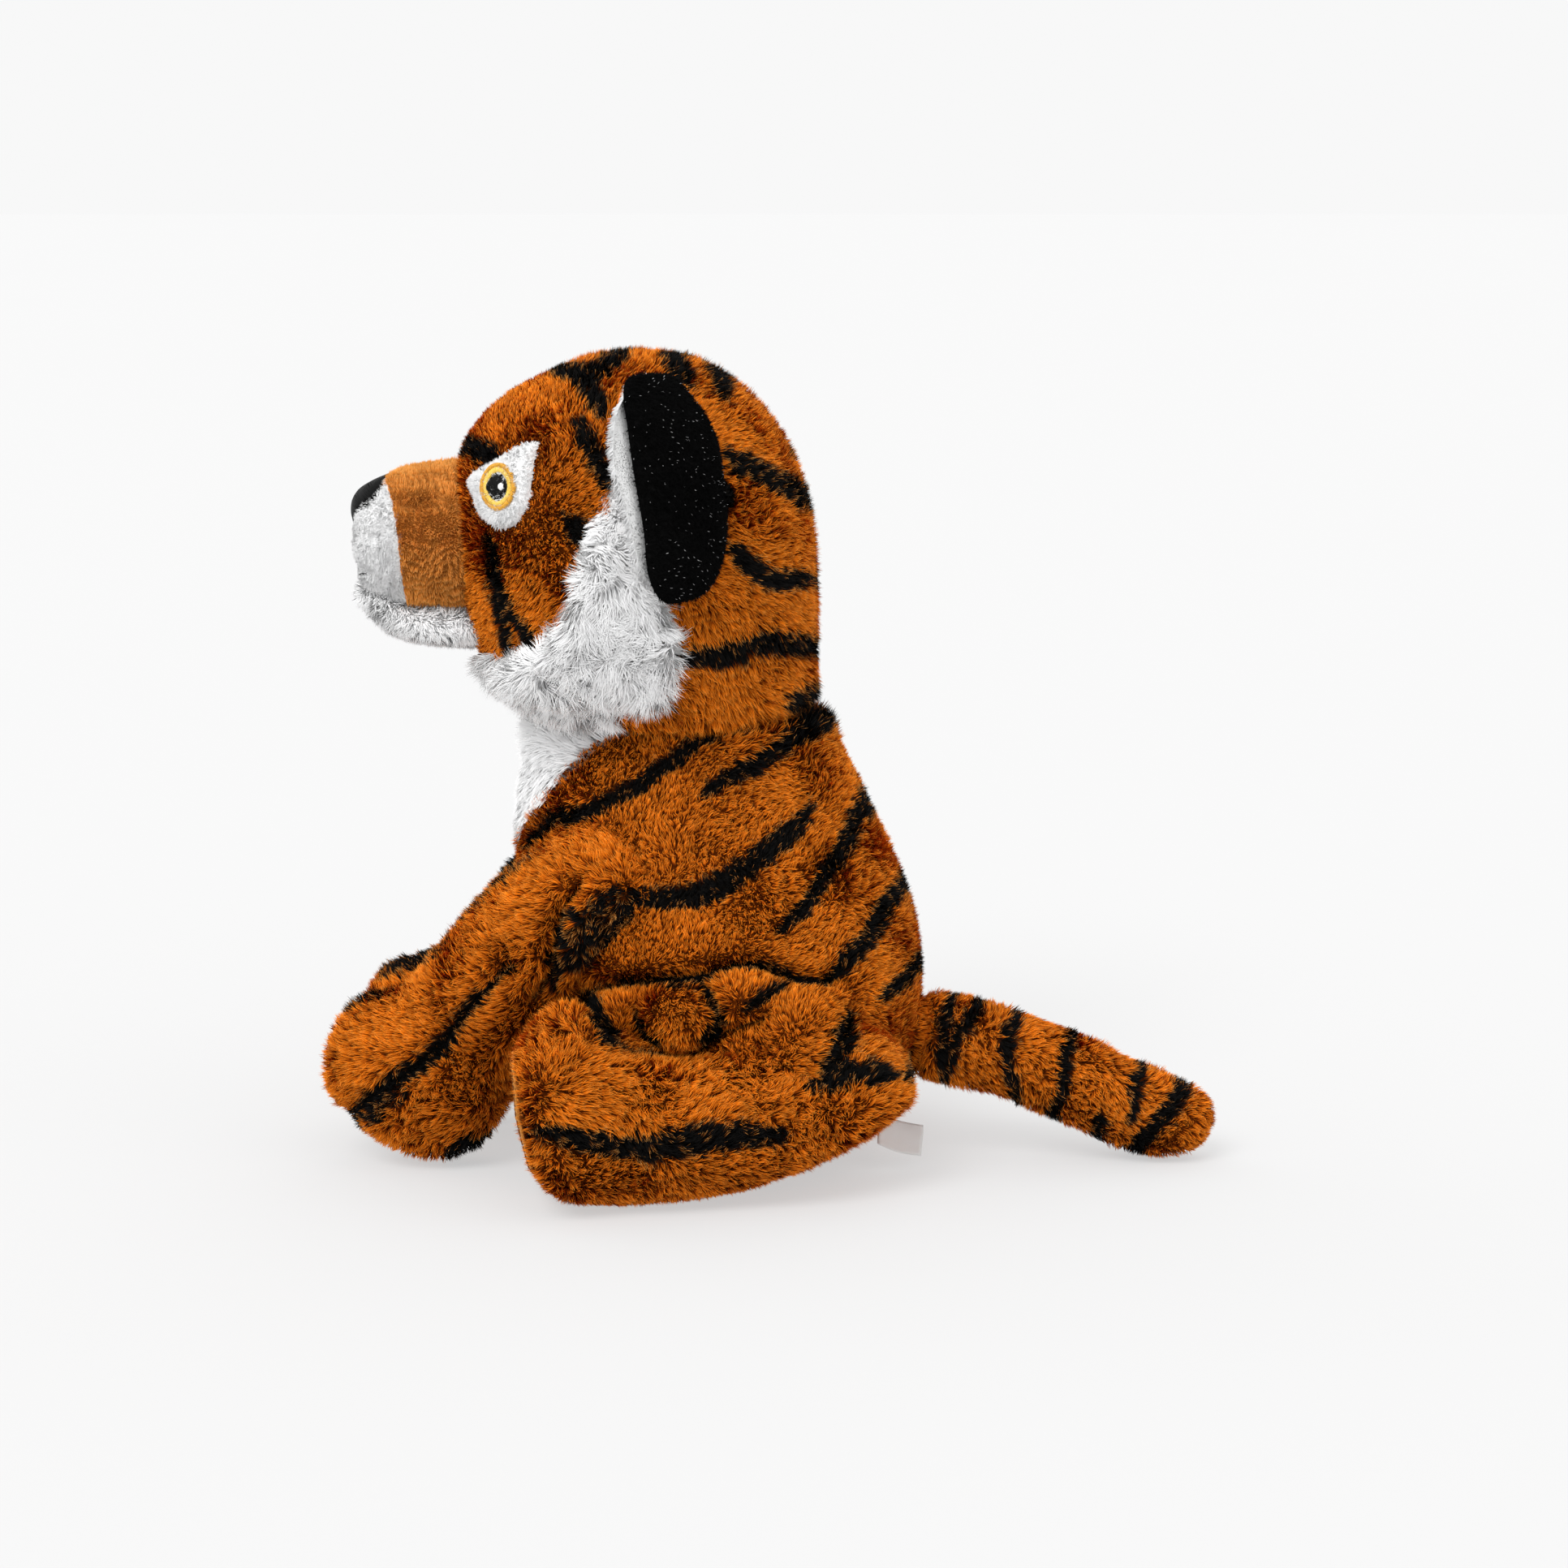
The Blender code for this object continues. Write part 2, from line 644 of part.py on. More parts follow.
def build_label():
    along = Vector((math.cos(label_slope), 0, -math.sin(label_slope)))
    upward = Vector((math.sin(label_slope), 0, math.cos(label_slope)))
    root = Vector((label_x, label_y, label_z))
    half = Vector((0, label_width / 2, 0))
    outline = [root - half, root + half, root + half + along * label_length, root - half + along * label_length]
    label = prism("care_label", outline, upward * label_thickness, parts, white)
    boolean(label, torso_clearance, "DIFFERENCE")
    return label


def add_empty(name, place):
    empty = bpy.data.objects.new(name, None)
    empty.location = place
    parts.objects.link(empty)
    return empty


def fasten(objects, holder, holder_place):
    """Parents the objects to an empty that rests at holder_place, and leaves them in place."""
    for obj in objects:
        obj.parent = holder
        obj.matrix_parent_inverse = Matrix.Translation(-holder_place)


def joint(name, place, holder, holder_place, objects):
    """An empty on a joint's axis that carries the moving objects."""
    empty = add_empty(name, place)
    fasten([empty], holder, holder_place)
    fasten(objects, empty, place)
    return empty


clear_scene()
parts = new_collection("plush_tiger")
cutters = new_collection("cutters")
orange = make_material("orange_pile", orange_colour, pile_roughness)
tan = make_material("tan_pile", tan_colour, pile_roughness)
white = make_material("white_pile", white_colour, pile_roughness)
black = make_material("black_pile", black_colour, pile_roughness)
gold = make_material("gold_thread", gold_colour, stitch_roughness)
filling = make_material("fibre_filling", filling_colour, pile_roughness)

floor_cut = below_floor()
torso_clearance = torso_form("torso_clearance", cutters, fit_gap)
head_clearance = head_form("head_clearance", cutters, trim_gap)

origin = Vector((0, 0, 0))
toy = add_empty("toy", Vector((frame_shift, 0, 0)))
neck = neck_centre()

torso = build_torso()
neck_pad = build_neck(*torso)
head_skin, head_stuffing, head_limit = build_head()
neck_turn = joint("neck_turn", neck, toy, origin, [neck_pad])
head_nod = joint("head_nod", neck, neck_turn, neck, [head_skin, head_stuffing])
for side_name, side in SIDES:
    front_places = places_of(front_leg_x_shares, front_leg_y, front_leg_z, side)
    front_leg = build_limb(
        f"{side_name}_front_leg", front_places, front_leg_side, front_leg_rise, front_leg_ball,
        torso, front_leg_angles, Vector((0, 1, 0)),
    )
    joint(f"{side_name}_shoulder", front_places[joint_station], toy, origin, front_leg)
    hind_places = places_of(hind_leg_x_shares, hind_leg_y, hind_leg_z, side)
    hind_leg = build_limb(
        f"{side_name}_hind_leg", hind_places, hind_leg_side, hind_leg_rise, hind_leg_ball,
        torso, hind_leg_angles, Vector((0, 0, -side)),
    )
    sole = build_sole(side_name, hind_places, hind_leg[0])
    joint(f"{side_name}_hip", hind_places[joint_station], toy, origin, [*hind_leg, sole])
    fasten(build_eye(side_name, side), head_nod, neck)
    ear = build_ear(side_name, side, (head_skin, head_stuffing))
    joint(f"{side_name}_ear_fold", ear_root(side), head_nod, neck, ear)
    fasten([build_ruff(side_name, side)], head_nod, neck)
tail_places = places_of(tail_x_shares, [0] * len(tail_z), tail_z, LEFT)
tail = build_limb(
    "tail", tail_places, tail_radius, tail_radius, tail_ball, torso, tail_angles, Vector((0, 0, 1))
)
joint("tail_swing", tail_places[joint_station], toy, origin, tail)
fasten(build_muzzle(), head_nod, neck)
fasten([*torso, build_bib(torso[0]), build_label()], toy, origin)
fasten(cutters.objects, toy, origin)
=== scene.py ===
import json
import math
from collections import namedtuple

import bmesh
import bpy
import numpy as np
from mathutils import Matrix, Vector
from mathutils.bvhtree import BVHTree


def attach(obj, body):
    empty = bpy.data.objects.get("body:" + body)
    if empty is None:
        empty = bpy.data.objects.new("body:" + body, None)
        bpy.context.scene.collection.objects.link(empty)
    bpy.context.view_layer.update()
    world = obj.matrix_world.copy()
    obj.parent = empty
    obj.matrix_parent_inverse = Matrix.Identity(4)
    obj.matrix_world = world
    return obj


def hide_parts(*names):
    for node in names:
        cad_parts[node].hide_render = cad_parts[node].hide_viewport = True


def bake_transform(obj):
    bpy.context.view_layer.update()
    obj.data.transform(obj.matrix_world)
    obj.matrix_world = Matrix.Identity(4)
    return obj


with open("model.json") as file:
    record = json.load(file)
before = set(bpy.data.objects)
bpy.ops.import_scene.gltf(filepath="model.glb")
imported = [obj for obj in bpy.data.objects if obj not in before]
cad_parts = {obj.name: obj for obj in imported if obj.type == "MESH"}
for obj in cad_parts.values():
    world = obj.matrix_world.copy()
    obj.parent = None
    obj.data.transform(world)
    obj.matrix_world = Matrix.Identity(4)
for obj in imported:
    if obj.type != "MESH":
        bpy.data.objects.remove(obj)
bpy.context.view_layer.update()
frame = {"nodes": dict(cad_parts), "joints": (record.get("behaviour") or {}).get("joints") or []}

# Camera: the toy seen from its left and a little behind, as in the photo
PHOTO_SIZE = 1932
CAMERA_TARGET = np.array((0.0028, 0.0, 0.116))
CAMERA_DISTANCE = 1.1
CAMERA_AZIMUTH = math.radians(5)
CAMERA_ELEVATION = math.radians(9.5)
CAMERA_VIEW = math.radians(24.8)
CAMERA_CLIP = (0.01, 100)

# Light and floor
FLOOR_RADIUS = 40.0
FLOOR_CORNERS = 96
FLOOR_GRAIN = 40
FLOOR_SPECKLE = 0.002
WORLD_COLOUR = (0.938, 0.938, 0.938)
LIGHTS = (
    # name, where it comes from, width of its glow in degrees, power
    ("key", (-0.35, -0.80, 0.9), 30, 1.75),
    ("fill", (0.8, -0.6, 0.9), 60, 0.35),
    ("front", (-1.0, 0.5, 0.7), 50, 0.40),
    ("back", (0.1, 1.0, 1.0), 60, 0.35),
)
FLOOR_GLOW_SHARE = 0.55
FLOOR_TONE = 1.03

# Cloth: grid of each skin, and how far it lies under the CAD surface so that the pile fills it up
COVER_VOXEL = 0.0019
LIMB_VOXEL = 0.0017
TRIM_VOXEL = 0.0011
NECK_VOXEL = 1.5 * TRIM_VOXEL
RUFF_VOXEL = 0.0014
MUZZLE_VOXEL = 0.0009
SOLE_VOXEL = 0.0008
COVER_SINK = 0.0012
# Sewn-on panels: how far they stand out over the CAD surface, and how full their padding is
TRIM_SWELL = 0.0003
TRIM_FILL = 0.7
# Seams along the middle of the back and the head: how wide and how deep they are drawn in
SEAM_WIDTH = 0.0022
TORSO_SEAM_DEPTH = 0.0014
HEAD_SEAM_DEPTH = 0.0012
# Random unevenness of the covers: its wavelength and height, and how often a skin is smoothed
UNEVEN_LENGTH = 0.030
UNEVEN_RISE = 0.0005
SMOOTHING_ROUNDS = 14

# Balls that fill the sockets of the joints and the limbs' roots
NECK_FILL = 0.034
SOCKET_FILL = 0.0158
TAIL_FILL = 0.0092
EAR_FILL = 0.0048
SHOULDER_ROOT = 0.0205
HIP_ROOT = 0.0225
TAIL_ROOT = 0.0115
# Where the bend between torso and tail starts and ends
TAIL_BEND = ((0.044, 0, 0.038), (0.068, 0, 0.036))

# The toy's sides, with the sign of y on each
SIDES = (("left", -1), ("right", 1))
QUICK_SHARE = 1.0
MOST_HAIRS = 64000
FLOOR_CLEARANCE = 0.0003
SQUARE_MILLIMETRES = 1e6
# The flattened underside, where fewer hairs grow: the least its normal looks down, its height and its share
UNDERSIDE_FACING = -0.75
UNDERSIDE_Z = 0.012
UNDERSIDE_SHARE = 0.45
# How deep a place lies in another skin to count as buried, and how open a triangle is to carry hair
BURIED = 0.0022
OPEN_SHARE = 0.3
# How far over its drawn edges a stripe grows at its middle, in the photo's pixels
STRIPE_SWELL = 2.5
# How far outside a panel rays towards its surface start, and their way
PROBE = 0.05
REARWARD = Vector((1, 0, 0))
# How far from the camera pixels that miss a surface are looked for
EDGE_DISTANCE = CAMERA_DISTANCE - 0.01
# Threads: corners round each, and how far its ends taper
THREAD_SIDES = 6
THREAD_TAPER = 0.55

# Stripes in the photo: width in its pixels, then the points down the middle
TORSO_STRIPES = (
    (9, (765, 858), (800, 870), (830, 879), (879, 889), (925, 895)),
    (17, (940, 893), (890, 901), (860, 912), (830, 939), (784, 973), (726, 1000), (688, 1008), (657, 1040)),
    (19, (1040, 880), (1017, 893), (967, 916), (925, 942), (891, 962), (864, 983)),
    (25, (992, 998), (975, 1027), (944, 1050), (906, 1080), (868, 1104), (820, 1110), (770, 1104), (752, 1112)),
    (18, (1075, 955), (1067, 965), (1048, 1004), (1036, 1046), (1013, 1084), (983, 1126), (956, 1149)),
    (14, (1044, 1015), (1068, 1000), (1090, 1008), (1105, 1015)),
    (19, (1130, 1065), (1113, 1080), (1086, 1115), (1071, 1145), (1040, 1187), (1013, 1214)),
    (15, (1150, 1175), (1124, 1187), (1105, 1214), (1075, 1230)),
    (13, (722, 1218), (760, 1214), (800, 1210), (850, 1210), (900, 1194), (950, 1192), (985, 1210), (1015, 1213)),
    (26, (1040, 1256), (1030, 1290), (1017, 1318), (1050, 1327), (1090, 1325)),
    (15, (1146, 1250), (1136, 1268), (1130, 1290), (1117, 1306), (1108, 1330)),
    (20, (728, 1230), (738, 1262), (753, 1288)),
    (11, (784, 1249), (790, 1270), (814, 1287)),
    (15, (862, 1215), (880, 1235), (886, 1250), (880, 1265), (864, 1278)),
    (11, (915, 1243), (945, 1228), (967, 1216)),
)
HIND_LEG_STRIPES = (
    (20, (728, 1230), (738, 1262), (753, 1288)),
    (26, (1040, 1256), (1030, 1290), (1017, 1318), (1050, 1327), (1090, 1325)),
    (15, (1146, 1250), (1136, 1268), (1130, 1290), (1117, 1306), (1108, 1330)),
    (11, (990, 1343), (1040, 1335), (1096, 1327)),
    (28, (668, 1392), (715, 1405), (757, 1411), (825, 1408), (890, 1402), (960, 1398)),
)
FRONT_LEG_STRIPES = (
    (15, (722, 1005), (694, 1018), (664, 1048), (608, 1095), (567, 1133), (528, 1191)),
    (8, (408, 1260), (450, 1235), (497, 1217)),
    (19, (632, 1188), (600, 1225), (579, 1249), (560, 1275), (537, 1301), (510, 1318), (485, 1332), (443, 1364)),
    (16, (553, 1418), (590, 1402), (634, 1385)),
)
# Dark patches: width in the photo's pixels, then the points down the middle. The two at the armpit and the one along
# the front leg's rear edge are partly dark fur and partly painted shade.
BLOTCHES_AND_SHADE = (
    (46, (780, 1106), (762, 1118), (742, 1134), (716, 1154), (690, 1184)),
    (24, (764, 1136), (748, 1150), (728, 1172)),
    (30, (445, 1375), (470, 1350), (500, 1335)),
    (17, (700, 1130), (686, 1165), (686, 1212)),
)

# Folds in the photo, in its pixels: how deep and how wide a crease is pressed in, then its points. Their hairs are
# also painted darker, as painted shade.
CREASES = (
    (0.0048, 10, (722, 1224), (780, 1213), (850, 1203), (918, 1188), (985, 1211), (1020, 1214)),
    (0.0024, 9, (1137, 1215), (1143, 1262), (1131, 1312)),
    (0.0022, 9, (1040, 1240), (1036, 1275), (1020, 1310)),
    (0.0016, 12, (684, 1012), (660, 1040), (600, 1084), (560, 1120)),
    (0.0050, 12, (716, 1092), (696, 1120), (684, 1160), (682, 1200), (660, 1226)),
    (0.0012, 14, (880, 905), (840, 940), (790, 975), (726, 1003)),
    (0.0012, 14, (960, 1150), (1010, 1085), (1048, 1010)),
    (0.0060, 10, (722, 1240), (733, 1264), (750, 1284), (778, 1297), (815, 1304), (850, 1300), (880, 1287),
     (902, 1268), (940, 1256)),
    (0.0044, 8, (784, 1245), (790, 1270), (812, 1288)),
    (0.0044, 8, (866, 1212), (886, 1236), (886, 1262)),
    (0.0026, 8, (915, 1246), (945, 1230), (967, 1218)),
    (0.0024, 9, (470, 1200), (500, 1216), (522, 1184)),
    (0.0024, 12, (632, 1190), (579, 1249), (537, 1301), (485, 1332), (443, 1364)),
)
# Rounded swellings: how far they stand out, their radius and centre in the photo's pixels
LUMPS = (
    (0.0060, 44, (752, 1262)),
    (0.0072, 42, (835, 1254)),
    (0.0064, 40, (922, 1238)),
    (0.0084, 62, (992, 1266)),
)
HEAD_STRIPES = (
    (20, (556, 548), (590, 556), (614, 565)),
    (7, (616, 565), (604, 574), (592, 584)),
    (17, (680, 460), (692, 465), (727, 469), (750, 455), (775, 438)),
    (22, (712, 470), (730, 495), (741, 519)),
    (22, (716, 526), (727, 560), (749, 602)),
    (25, (697, 636), (710, 655), (723, 669), (738, 700), (727, 719)),
    (12, (605, 664), (611, 692), (616, 720), (626, 765), (637, 816)),
    (11, (624, 730), (638, 755), (653, 780), (678, 812)),
    (22, (815, 436), (830, 460), (842, 480)),
    (18, (862, 438), (878, 468), (888, 498)),
    (22, (885, 562), (915, 578), (939, 591), (965, 605), (1000, 632)),
    (14, (965, 558), (990, 568)),
    (22, (893, 672), (920, 700), (939, 712), (960, 714), (990, 711)),
    (24, (810, 797), (840, 803), (879, 803), (910, 795), (935, 786), (970, 790), (1015, 799)),
    (14, (958, 862), (985, 850), (1015, 836)),
)
TAIL_STRIPES = (
    (11, (1168, 1230), (1160, 1285), (1162, 1335)),
    (14, (1207, 1245), (1185, 1268), (1178, 1278), (1170, 1295), (1166, 1312)),
    (14, (1252, 1250), (1240, 1275), (1238, 1293), (1243, 1325), (1256, 1360)),
    (13, (1318, 1268), (1310, 1300), (1308, 1341), (1298, 1360), (1302, 1378)),
    (13, (1400, 1312), (1394, 1345), (1391, 1376)),
    (12, (1354, 1372), (1350, 1410)),
    (18, (1462, 1328), (1445, 1358), (1433, 1373), (1410, 1400), (1384, 1430)),
)

# Outlines in the photo, on the toy's left side
EYE_PATCH_OUTLINE = (
    (581, 590), (612, 570), (640, 553), (664, 545), (661, 560), (658, 580), (654, 612), (646, 634),
    (634, 649), (617, 651), (604, 643), (593, 630), (586, 610),
)
RUFF_OUTLINE = (
    (756, 585), (742, 610), (746, 650), (742, 690), (722, 740), (712, 790), (740, 850), (776, 848),
    (790, 815), (812, 768), (800, 710), (795, 650), (785, 580),
)
JAW_OUTLINE = (
    (520, 798), (575, 798), (600, 804), (640, 812), (680, 808), (712, 796), (760, 780), (785, 800),
    (768, 858), (752, 900), (520, 900),
)
RUFF_HEM = 868
RUFF_HEM_DROP = 46
RUFF_END = 680
RUFF_SINK = 0.006
MUZZLE_PROFILE = (
    (640, 556), (562, 565), (536, 568), (505, 577), (486, 587), (463, 603), (447, 618), (438, 634), (435, 652),
    (434, 674), (438, 692), (446, 708), (458, 722), (477, 733), (500, 744), (520, 755), (552, 762), (640, 762),
)
CHIN_PROFILE = (
    (447, 722), (462, 720), (480, 728), (505, 738), (520, 748), (552, 756), (620, 758), (620, 789), (559, 786),
    (520, 783), (491, 777), (462, 765), (444, 751), (441, 738),
)
CHIN_LIFT = 0.0060
PANEL_OVERLAP = 0.0022
# The seated part's outline: haunches, hind feet and rounded seat
SEAT_PROFILE = (
    (560, 500), (1300, 500), (1300, 1190), (1148, 1215), (1140, 1325), (1102, 1362), (1060, 1395), (985, 1434),
    (920, 1456), (850, 1470), (760, 1478), (700, 1474), (680, 1460), (664, 1438), (655, 1405), (648, 1375),
    (643, 1316), (641, 1272), (648, 1248), (664, 1232), (648, 1214), (560, 1190),
)
SOLE_DEPTH = 8
# The head's back, under its pile
HEAD_PROFILE = (
    (300, 300), (892, 300), (904, 458), (922, 480), (946, 510), (967, 566), (981, 618), (991, 690), (995, 760),
    (997, 1000), (300, 1000),
)
# The seam between the muzzle's white front and its tan sides
MUZZLE_SEAM = ((468, 560), (474, 585), (479, 600), (486, 637), (494, 700), (503, 760))

# Front paws: where they start, up to what height they are stretched, how far at the floor, and the length
# over which this sets in
PAW_BACK_X = -0.068
PAW_LOW_Z = 0.035
PAW_DROP = 0.0085
PAW_FADE = 0.015

# Hind feet: middle of the raised top in the photo, its reach in pixels, and how high it rises
FOOT_TOP = (692, 1242)
FOOT_TOP_REACH = 46
FOOT_RISE = 0.0052

# Chest bib: height and half width of its edge
BIB_ROWS = ((0.098, 0.004), (0.100, 0.011), (0.107, 0.021), (0.119, 0.029), (0.142, 0.036))
BIB_BACK_X = -0.036
# Where the bib's pile turns up under the chin
BIB_TURN_Z = 0.124
BIB_TURN_REACH = 0.010

# The gap in the brow's stripe at the middle of the face
BROW_GAP = 0.0055
BROW_BACK_X = -0.078

# Ear roots, then the head's lower rear edge and the torso's upper one, whose piles grow longer: their heights,
# where they start along the toy, how far they fade in, and by how much they grow
EAR_ROOT_REACH = 0.0068
NAPE_TOP_Z = 0.152
NAPE_FRONT_X = -0.030
NAPE_REACH = 0.012
NAPE_FADE = 0.02
NAPE_GROWTH = 0.7
SHOULDER_EDGE_Z = 0.127
SHOULDER_EDGE_REACH = 0.006
# The white under the jaw: its height, its back end, and pixels of depth for a metre down and back
JAW_Z = 0.1545
JAW_BACK_X = -0.052
JAW_SLOPES = (4000, 6000)

# Ears: outlines in the photo, the mesh's places round a ring and its rings, how far each cloth swells and both
# are cupped, their padding, how much lower the right ear sits, and the share of pale hairs
EAR_OUTLINE = (
    (774, 472), (782, 463), (800, 460), (820, 460), (836, 465), (853, 488), (869, 508), (880, 530), (888, 560),
    (893, 600), (896, 640), (894, 680), (884, 712), (868, 732), (848, 740), (826, 742), (811, 728), (802, 700),
    (798, 655), (792, 619), (784, 573), (778, 527), (773, 495),
)
LINING_OUTLINE = (
    (772, 492), (784, 472), (800, 464), (820, 464), (836, 469), (853, 492), (869, 512), (880, 534), (888, 560),
    (893, 600), (896, 640), (892, 680), (880, 708), (862, 722), (840, 728), (812, 722), (794, 700),
    (783, 655), (772, 615), (763, 580), (760, 550), (763, 515),
)
EAR_AROUND = 72
EAR_RINGS = 14
EAR_BACK_SWELL = 0.0030
EAR_LINING_SWELL = 0.0042
EAR_CUP = 0.0035
EAR_CUP_MIDDLE = 0.6
EAR_PADDING = 0.3
FAR_EAR_DROP = 0.0026
FLECK_SHARE = 0.012

# Hind feet: where the pile turns forwards and where it ends round the sole, the sole's oval and its stitches
FOOT_BACK_X = -0.045
FOOT_END_X = -0.052
SOLE_MIDDLE = (0.07385, 0.02665)
SOLE_REACH = (0.0158, 0.0195)
SOLE_OUTLINE = tuple(
    (SOLE_MIDDLE[0] + SOLE_REACH[0] * math.cos(turn), SOLE_MIDDLE[1] + SOLE_REACH[1] * math.sin(turn))
    for turn in np.linspace(0, 2 * math.pi, 24, endpoint=False)
)
SOLE_STITCHES = 40
SOLE_STITCH_RING = 0.86
SOLE_STITCH_LENGTH = 0.55
SOLE_STITCH_LIFT = 0.0012
SOLE_STITCH_WIDTH = 0.0005

# Eyes: the white patch's places round a ring, its rings and height, then the stitches, and in the photo's
# pixels the ovals that they fill
PATCH_AROUND = 64
PATCH_RINGS = 12
PATCH_LIFT = 0.0022
PATCH_RIM_LIFT = 0.0003
STITCH_LIFT = 0.0034
STITCH_SINK = 0.0007
STITCH_WIDTH = 0.00042
EYE_CENTRE = (622.5, 602.0)
IRIS_REACH = (20.5, 28.0)
PUPIL_REACH = (12.5, 17.5)
GLINT_CENTRE = (628.5, 602.0)
GLINT_REACH = (3.2, 6.0)
# Rings of stitches: inner and outer share of the iris, and how many; then how many fill the pupil and the glint
IRIS_RING = (0.80, 1.0, 96)
IRIS_INNER = (0.58, 0.84, 80)
RING_SLANT = 0.10
PUPIL_STITCHES = 20
PUPIL_LIFT = STITCH_LIFT + 0.0001
GLINT_STITCHES = 5
GLINT_LIFT = STITCH_LIFT + 0.0004

# Nose and mouth: the nose's edge in the photo, its mesh, height, dome and widest place along it, then the mouth
NOSE_EDGE = ((483, 606), (475, 610), (463, 617), (449, 630), (441, 643), (436, 657))
NOSE_ROWS = 46
NOSE_ACROSS = 17
NOSE_LIFT = 0.0013
NOSE_DOME = 0.0012
NOSE_WIDEST = 0.42
NOSE_STITCH_WIDTH = 0.0005
MOUTH_LINE = ((438, 694), (443, 699), (449, 703), (456, 706))
MOUTH_ARCH = 0.0016
MOUTH_RISE = 0.0010
MOUTH_WIDTH = 0.0006
MOUTH_LIFT = 0.0003
MOUTH_PLACES = 22
# Muzzle panels: where the end that overlaps starts along the toy and how far it reaches
MUZZLE_SIDES_END = (-0.108, -0.005)
MUZZLE_FRONT_END = (-0.120, 0.003)
# The groove under the nose and the mouth's crease: depth, widths in metres and pixels, and the groove's top
GROOVE_DEPTH = 0.0011
GROOVE_WIDTH = 0.0016
MOUTH_CREASE_WIDTH = 6
GROOVE_TOP = 650
# The chin's lifted front and the ruff's sunk end, in the photo's pixels
CHIN_LIFT_START = 505
LIFT_REACH = 50

# Label: its corner on the seat, the ways it hangs and is wide, its size, its mesh and how far it bends
LABEL_ROOT = (0.0335, -0.0225, 0.0085)
LABEL_OUT = (0.95, 0.10, -0.27)
LABEL_UP = (0.0, 0.84, 0.54)
LABEL_SIZE = (0.012, 0.014)
LABEL_THICKNESS = 0.00022
LABEL_GRID = (12, 14)
LABEL_BENDS = (0.0009, 0.0005)

# Legs: kind, joint, ball at the root, stripes, way of the pile, seed, how far from the joint the bend ends, on
# the right side, and the sole's outline
Leg = namedtuple("Leg", "kind joint ball stripes comb seed bend sole")
LEGS = (
    Leg("front_leg", "shoulder", SHOULDER_ROOT, FRONT_LEG_STRIPES, (-0.55, 0, -0.25), 61, (-0.020, 0, -0.018), None),
    Leg("hind_leg", "hip", HIP_ROOT, HIND_LEG_STRIPES, (0.6, 0, 0.12), 71, (-0.028, 0.012, -0.003), SOLE_OUTLINE),
)

# Colours of hair, linear, from its root to its tip
# The orange hair's near-black root is partly painted shade between the hairs, and its pale tip is partly painted
# highlight.
ORANGE_HAIR = (
    (0.0, (0.044, 0.0065, 0.0005)), (0.4, (0.345, 0.062, 0.0016)), (0.75, (0.70, 0.165, 0.005)),
    (1.0, (0.90, 0.335, 0.046)),
)
MIXED_HAIR = (
    (0.0, (0.008, 0.004, 0.002)), (0.5, (0.016, 0.007, 0.002)), (0.75, (0.20, 0.060, 0.007)),
    (1.0, (0.85, 0.42, 0.12)),
)
BLACK_HAIR = ((0.0, (0.001, 0.001, 0.001)), (0.7, (0.003, 0.003, 0.003)), (1.0, (0.012, 0.010, 0.008)))
VELVET_HAIR = ((0.0, (0.001, 0.001, 0.001)), (1.0, (0.004, 0.004, 0.004)))
FLECK_HAIR = ((0.0, (0.001, 0.001, 0.001)), (0.45, (0.002, 0.002, 0.002)), (0.75, (0.75, 0.75, 0.75)))
WHITE_HAIR = ((0.0, (0.87, 0.87, 0.87)), (0.4, (0.93, 0.93, 0.93)), (1.0, (0.97, 0.97, 0.97)))
# Greyer than WHITE_HAIR: the muzzle's short white pile is partly painted shade.
FELT_HAIR = ((0.0, (0.78, 0.78, 0.78)), (1.0, (0.91, 0.91, 0.91)))
TAN_HAIR = ((0.0, (0.31, 0.086, 0.009)), (0.5, (0.65, 0.215, 0.032)), (1.0, (0.90, 0.42, 0.11)))

# Colours of cloth, linear
ORANGE_CLOTH = (0.16, 0.031, 0.0015)
TAN_CLOTH = (0.38, 0.125, 0.019)
WHITE_CLOTH = (0.92, 0.92, 0.915)
BLACK_CLOTH = (0.004, 0.004, 0.004)
STRIPE_CLOTH = (0.006, 0.005, 0.004)
PANEL_CLOTH = (0.86, 0.86, 0.85)
# Greyer than WHITE_CLOTH: partly painted shade on the muzzle's white.
MUZZLE_CLOTH = (0.78, 0.78, 0.78)
# Grain: how fine it is, its detail, and the strength and distance of its bump
CLOTH_GRAIN = (900, 4)
CLOTH_BUMP = (0.5, 0.0006)
THREAD_GRAIN = (2600, 3)
THREAD_BUMP = (0.4, 0.0002)
# Tape: wavelengths of its warp and weft, its dark and its bright tone, and its bump
TAPE_WAVES = (0.00030, 0.00042)
TAPE_TONES = ((0.0, (0.82, 0.82, 0.81)), (0.6, (0.96, 0.96, 0.955)))
TAPE_BUMP = (0.6, 0.00008)

# Piles: hairs for a square millimetre, their length and width, then how they stand: upright share, stray of
# tufts and of hairs, size of a tuft and pull to its tip, twist, mottling, facets, and whether they are spikes
Pile = namedtuple(
    "Pile", "density length width stand tuft_stray hair_stray tuft_size pull twist mottle facet bristly")
FINE_TUFTS = (1.1, 0.34, 0.26, 0.0012, 0.42, 1.0, 0.20, 0.55, False)
LONG_TUFTS = (0.75, 0.30, 0.24, 0.0016, 0.45, 1.0, 0.18, 0.55, False)
RUFF_TUFTS = (0.6, 0.42, 0.32, 0.0024, 0.30, 0.45, 0.05, 0.22, False)
BIB_TUFTS = (0.6, 0.12, 0.14, 0.003, 0.3, 0.45, 0.05, 0.22, False)
CHIN_TUFTS = (0.7, 0.26, 0.26, 0.0018, 0.20, 0.45, 0.05, 0.22, False)
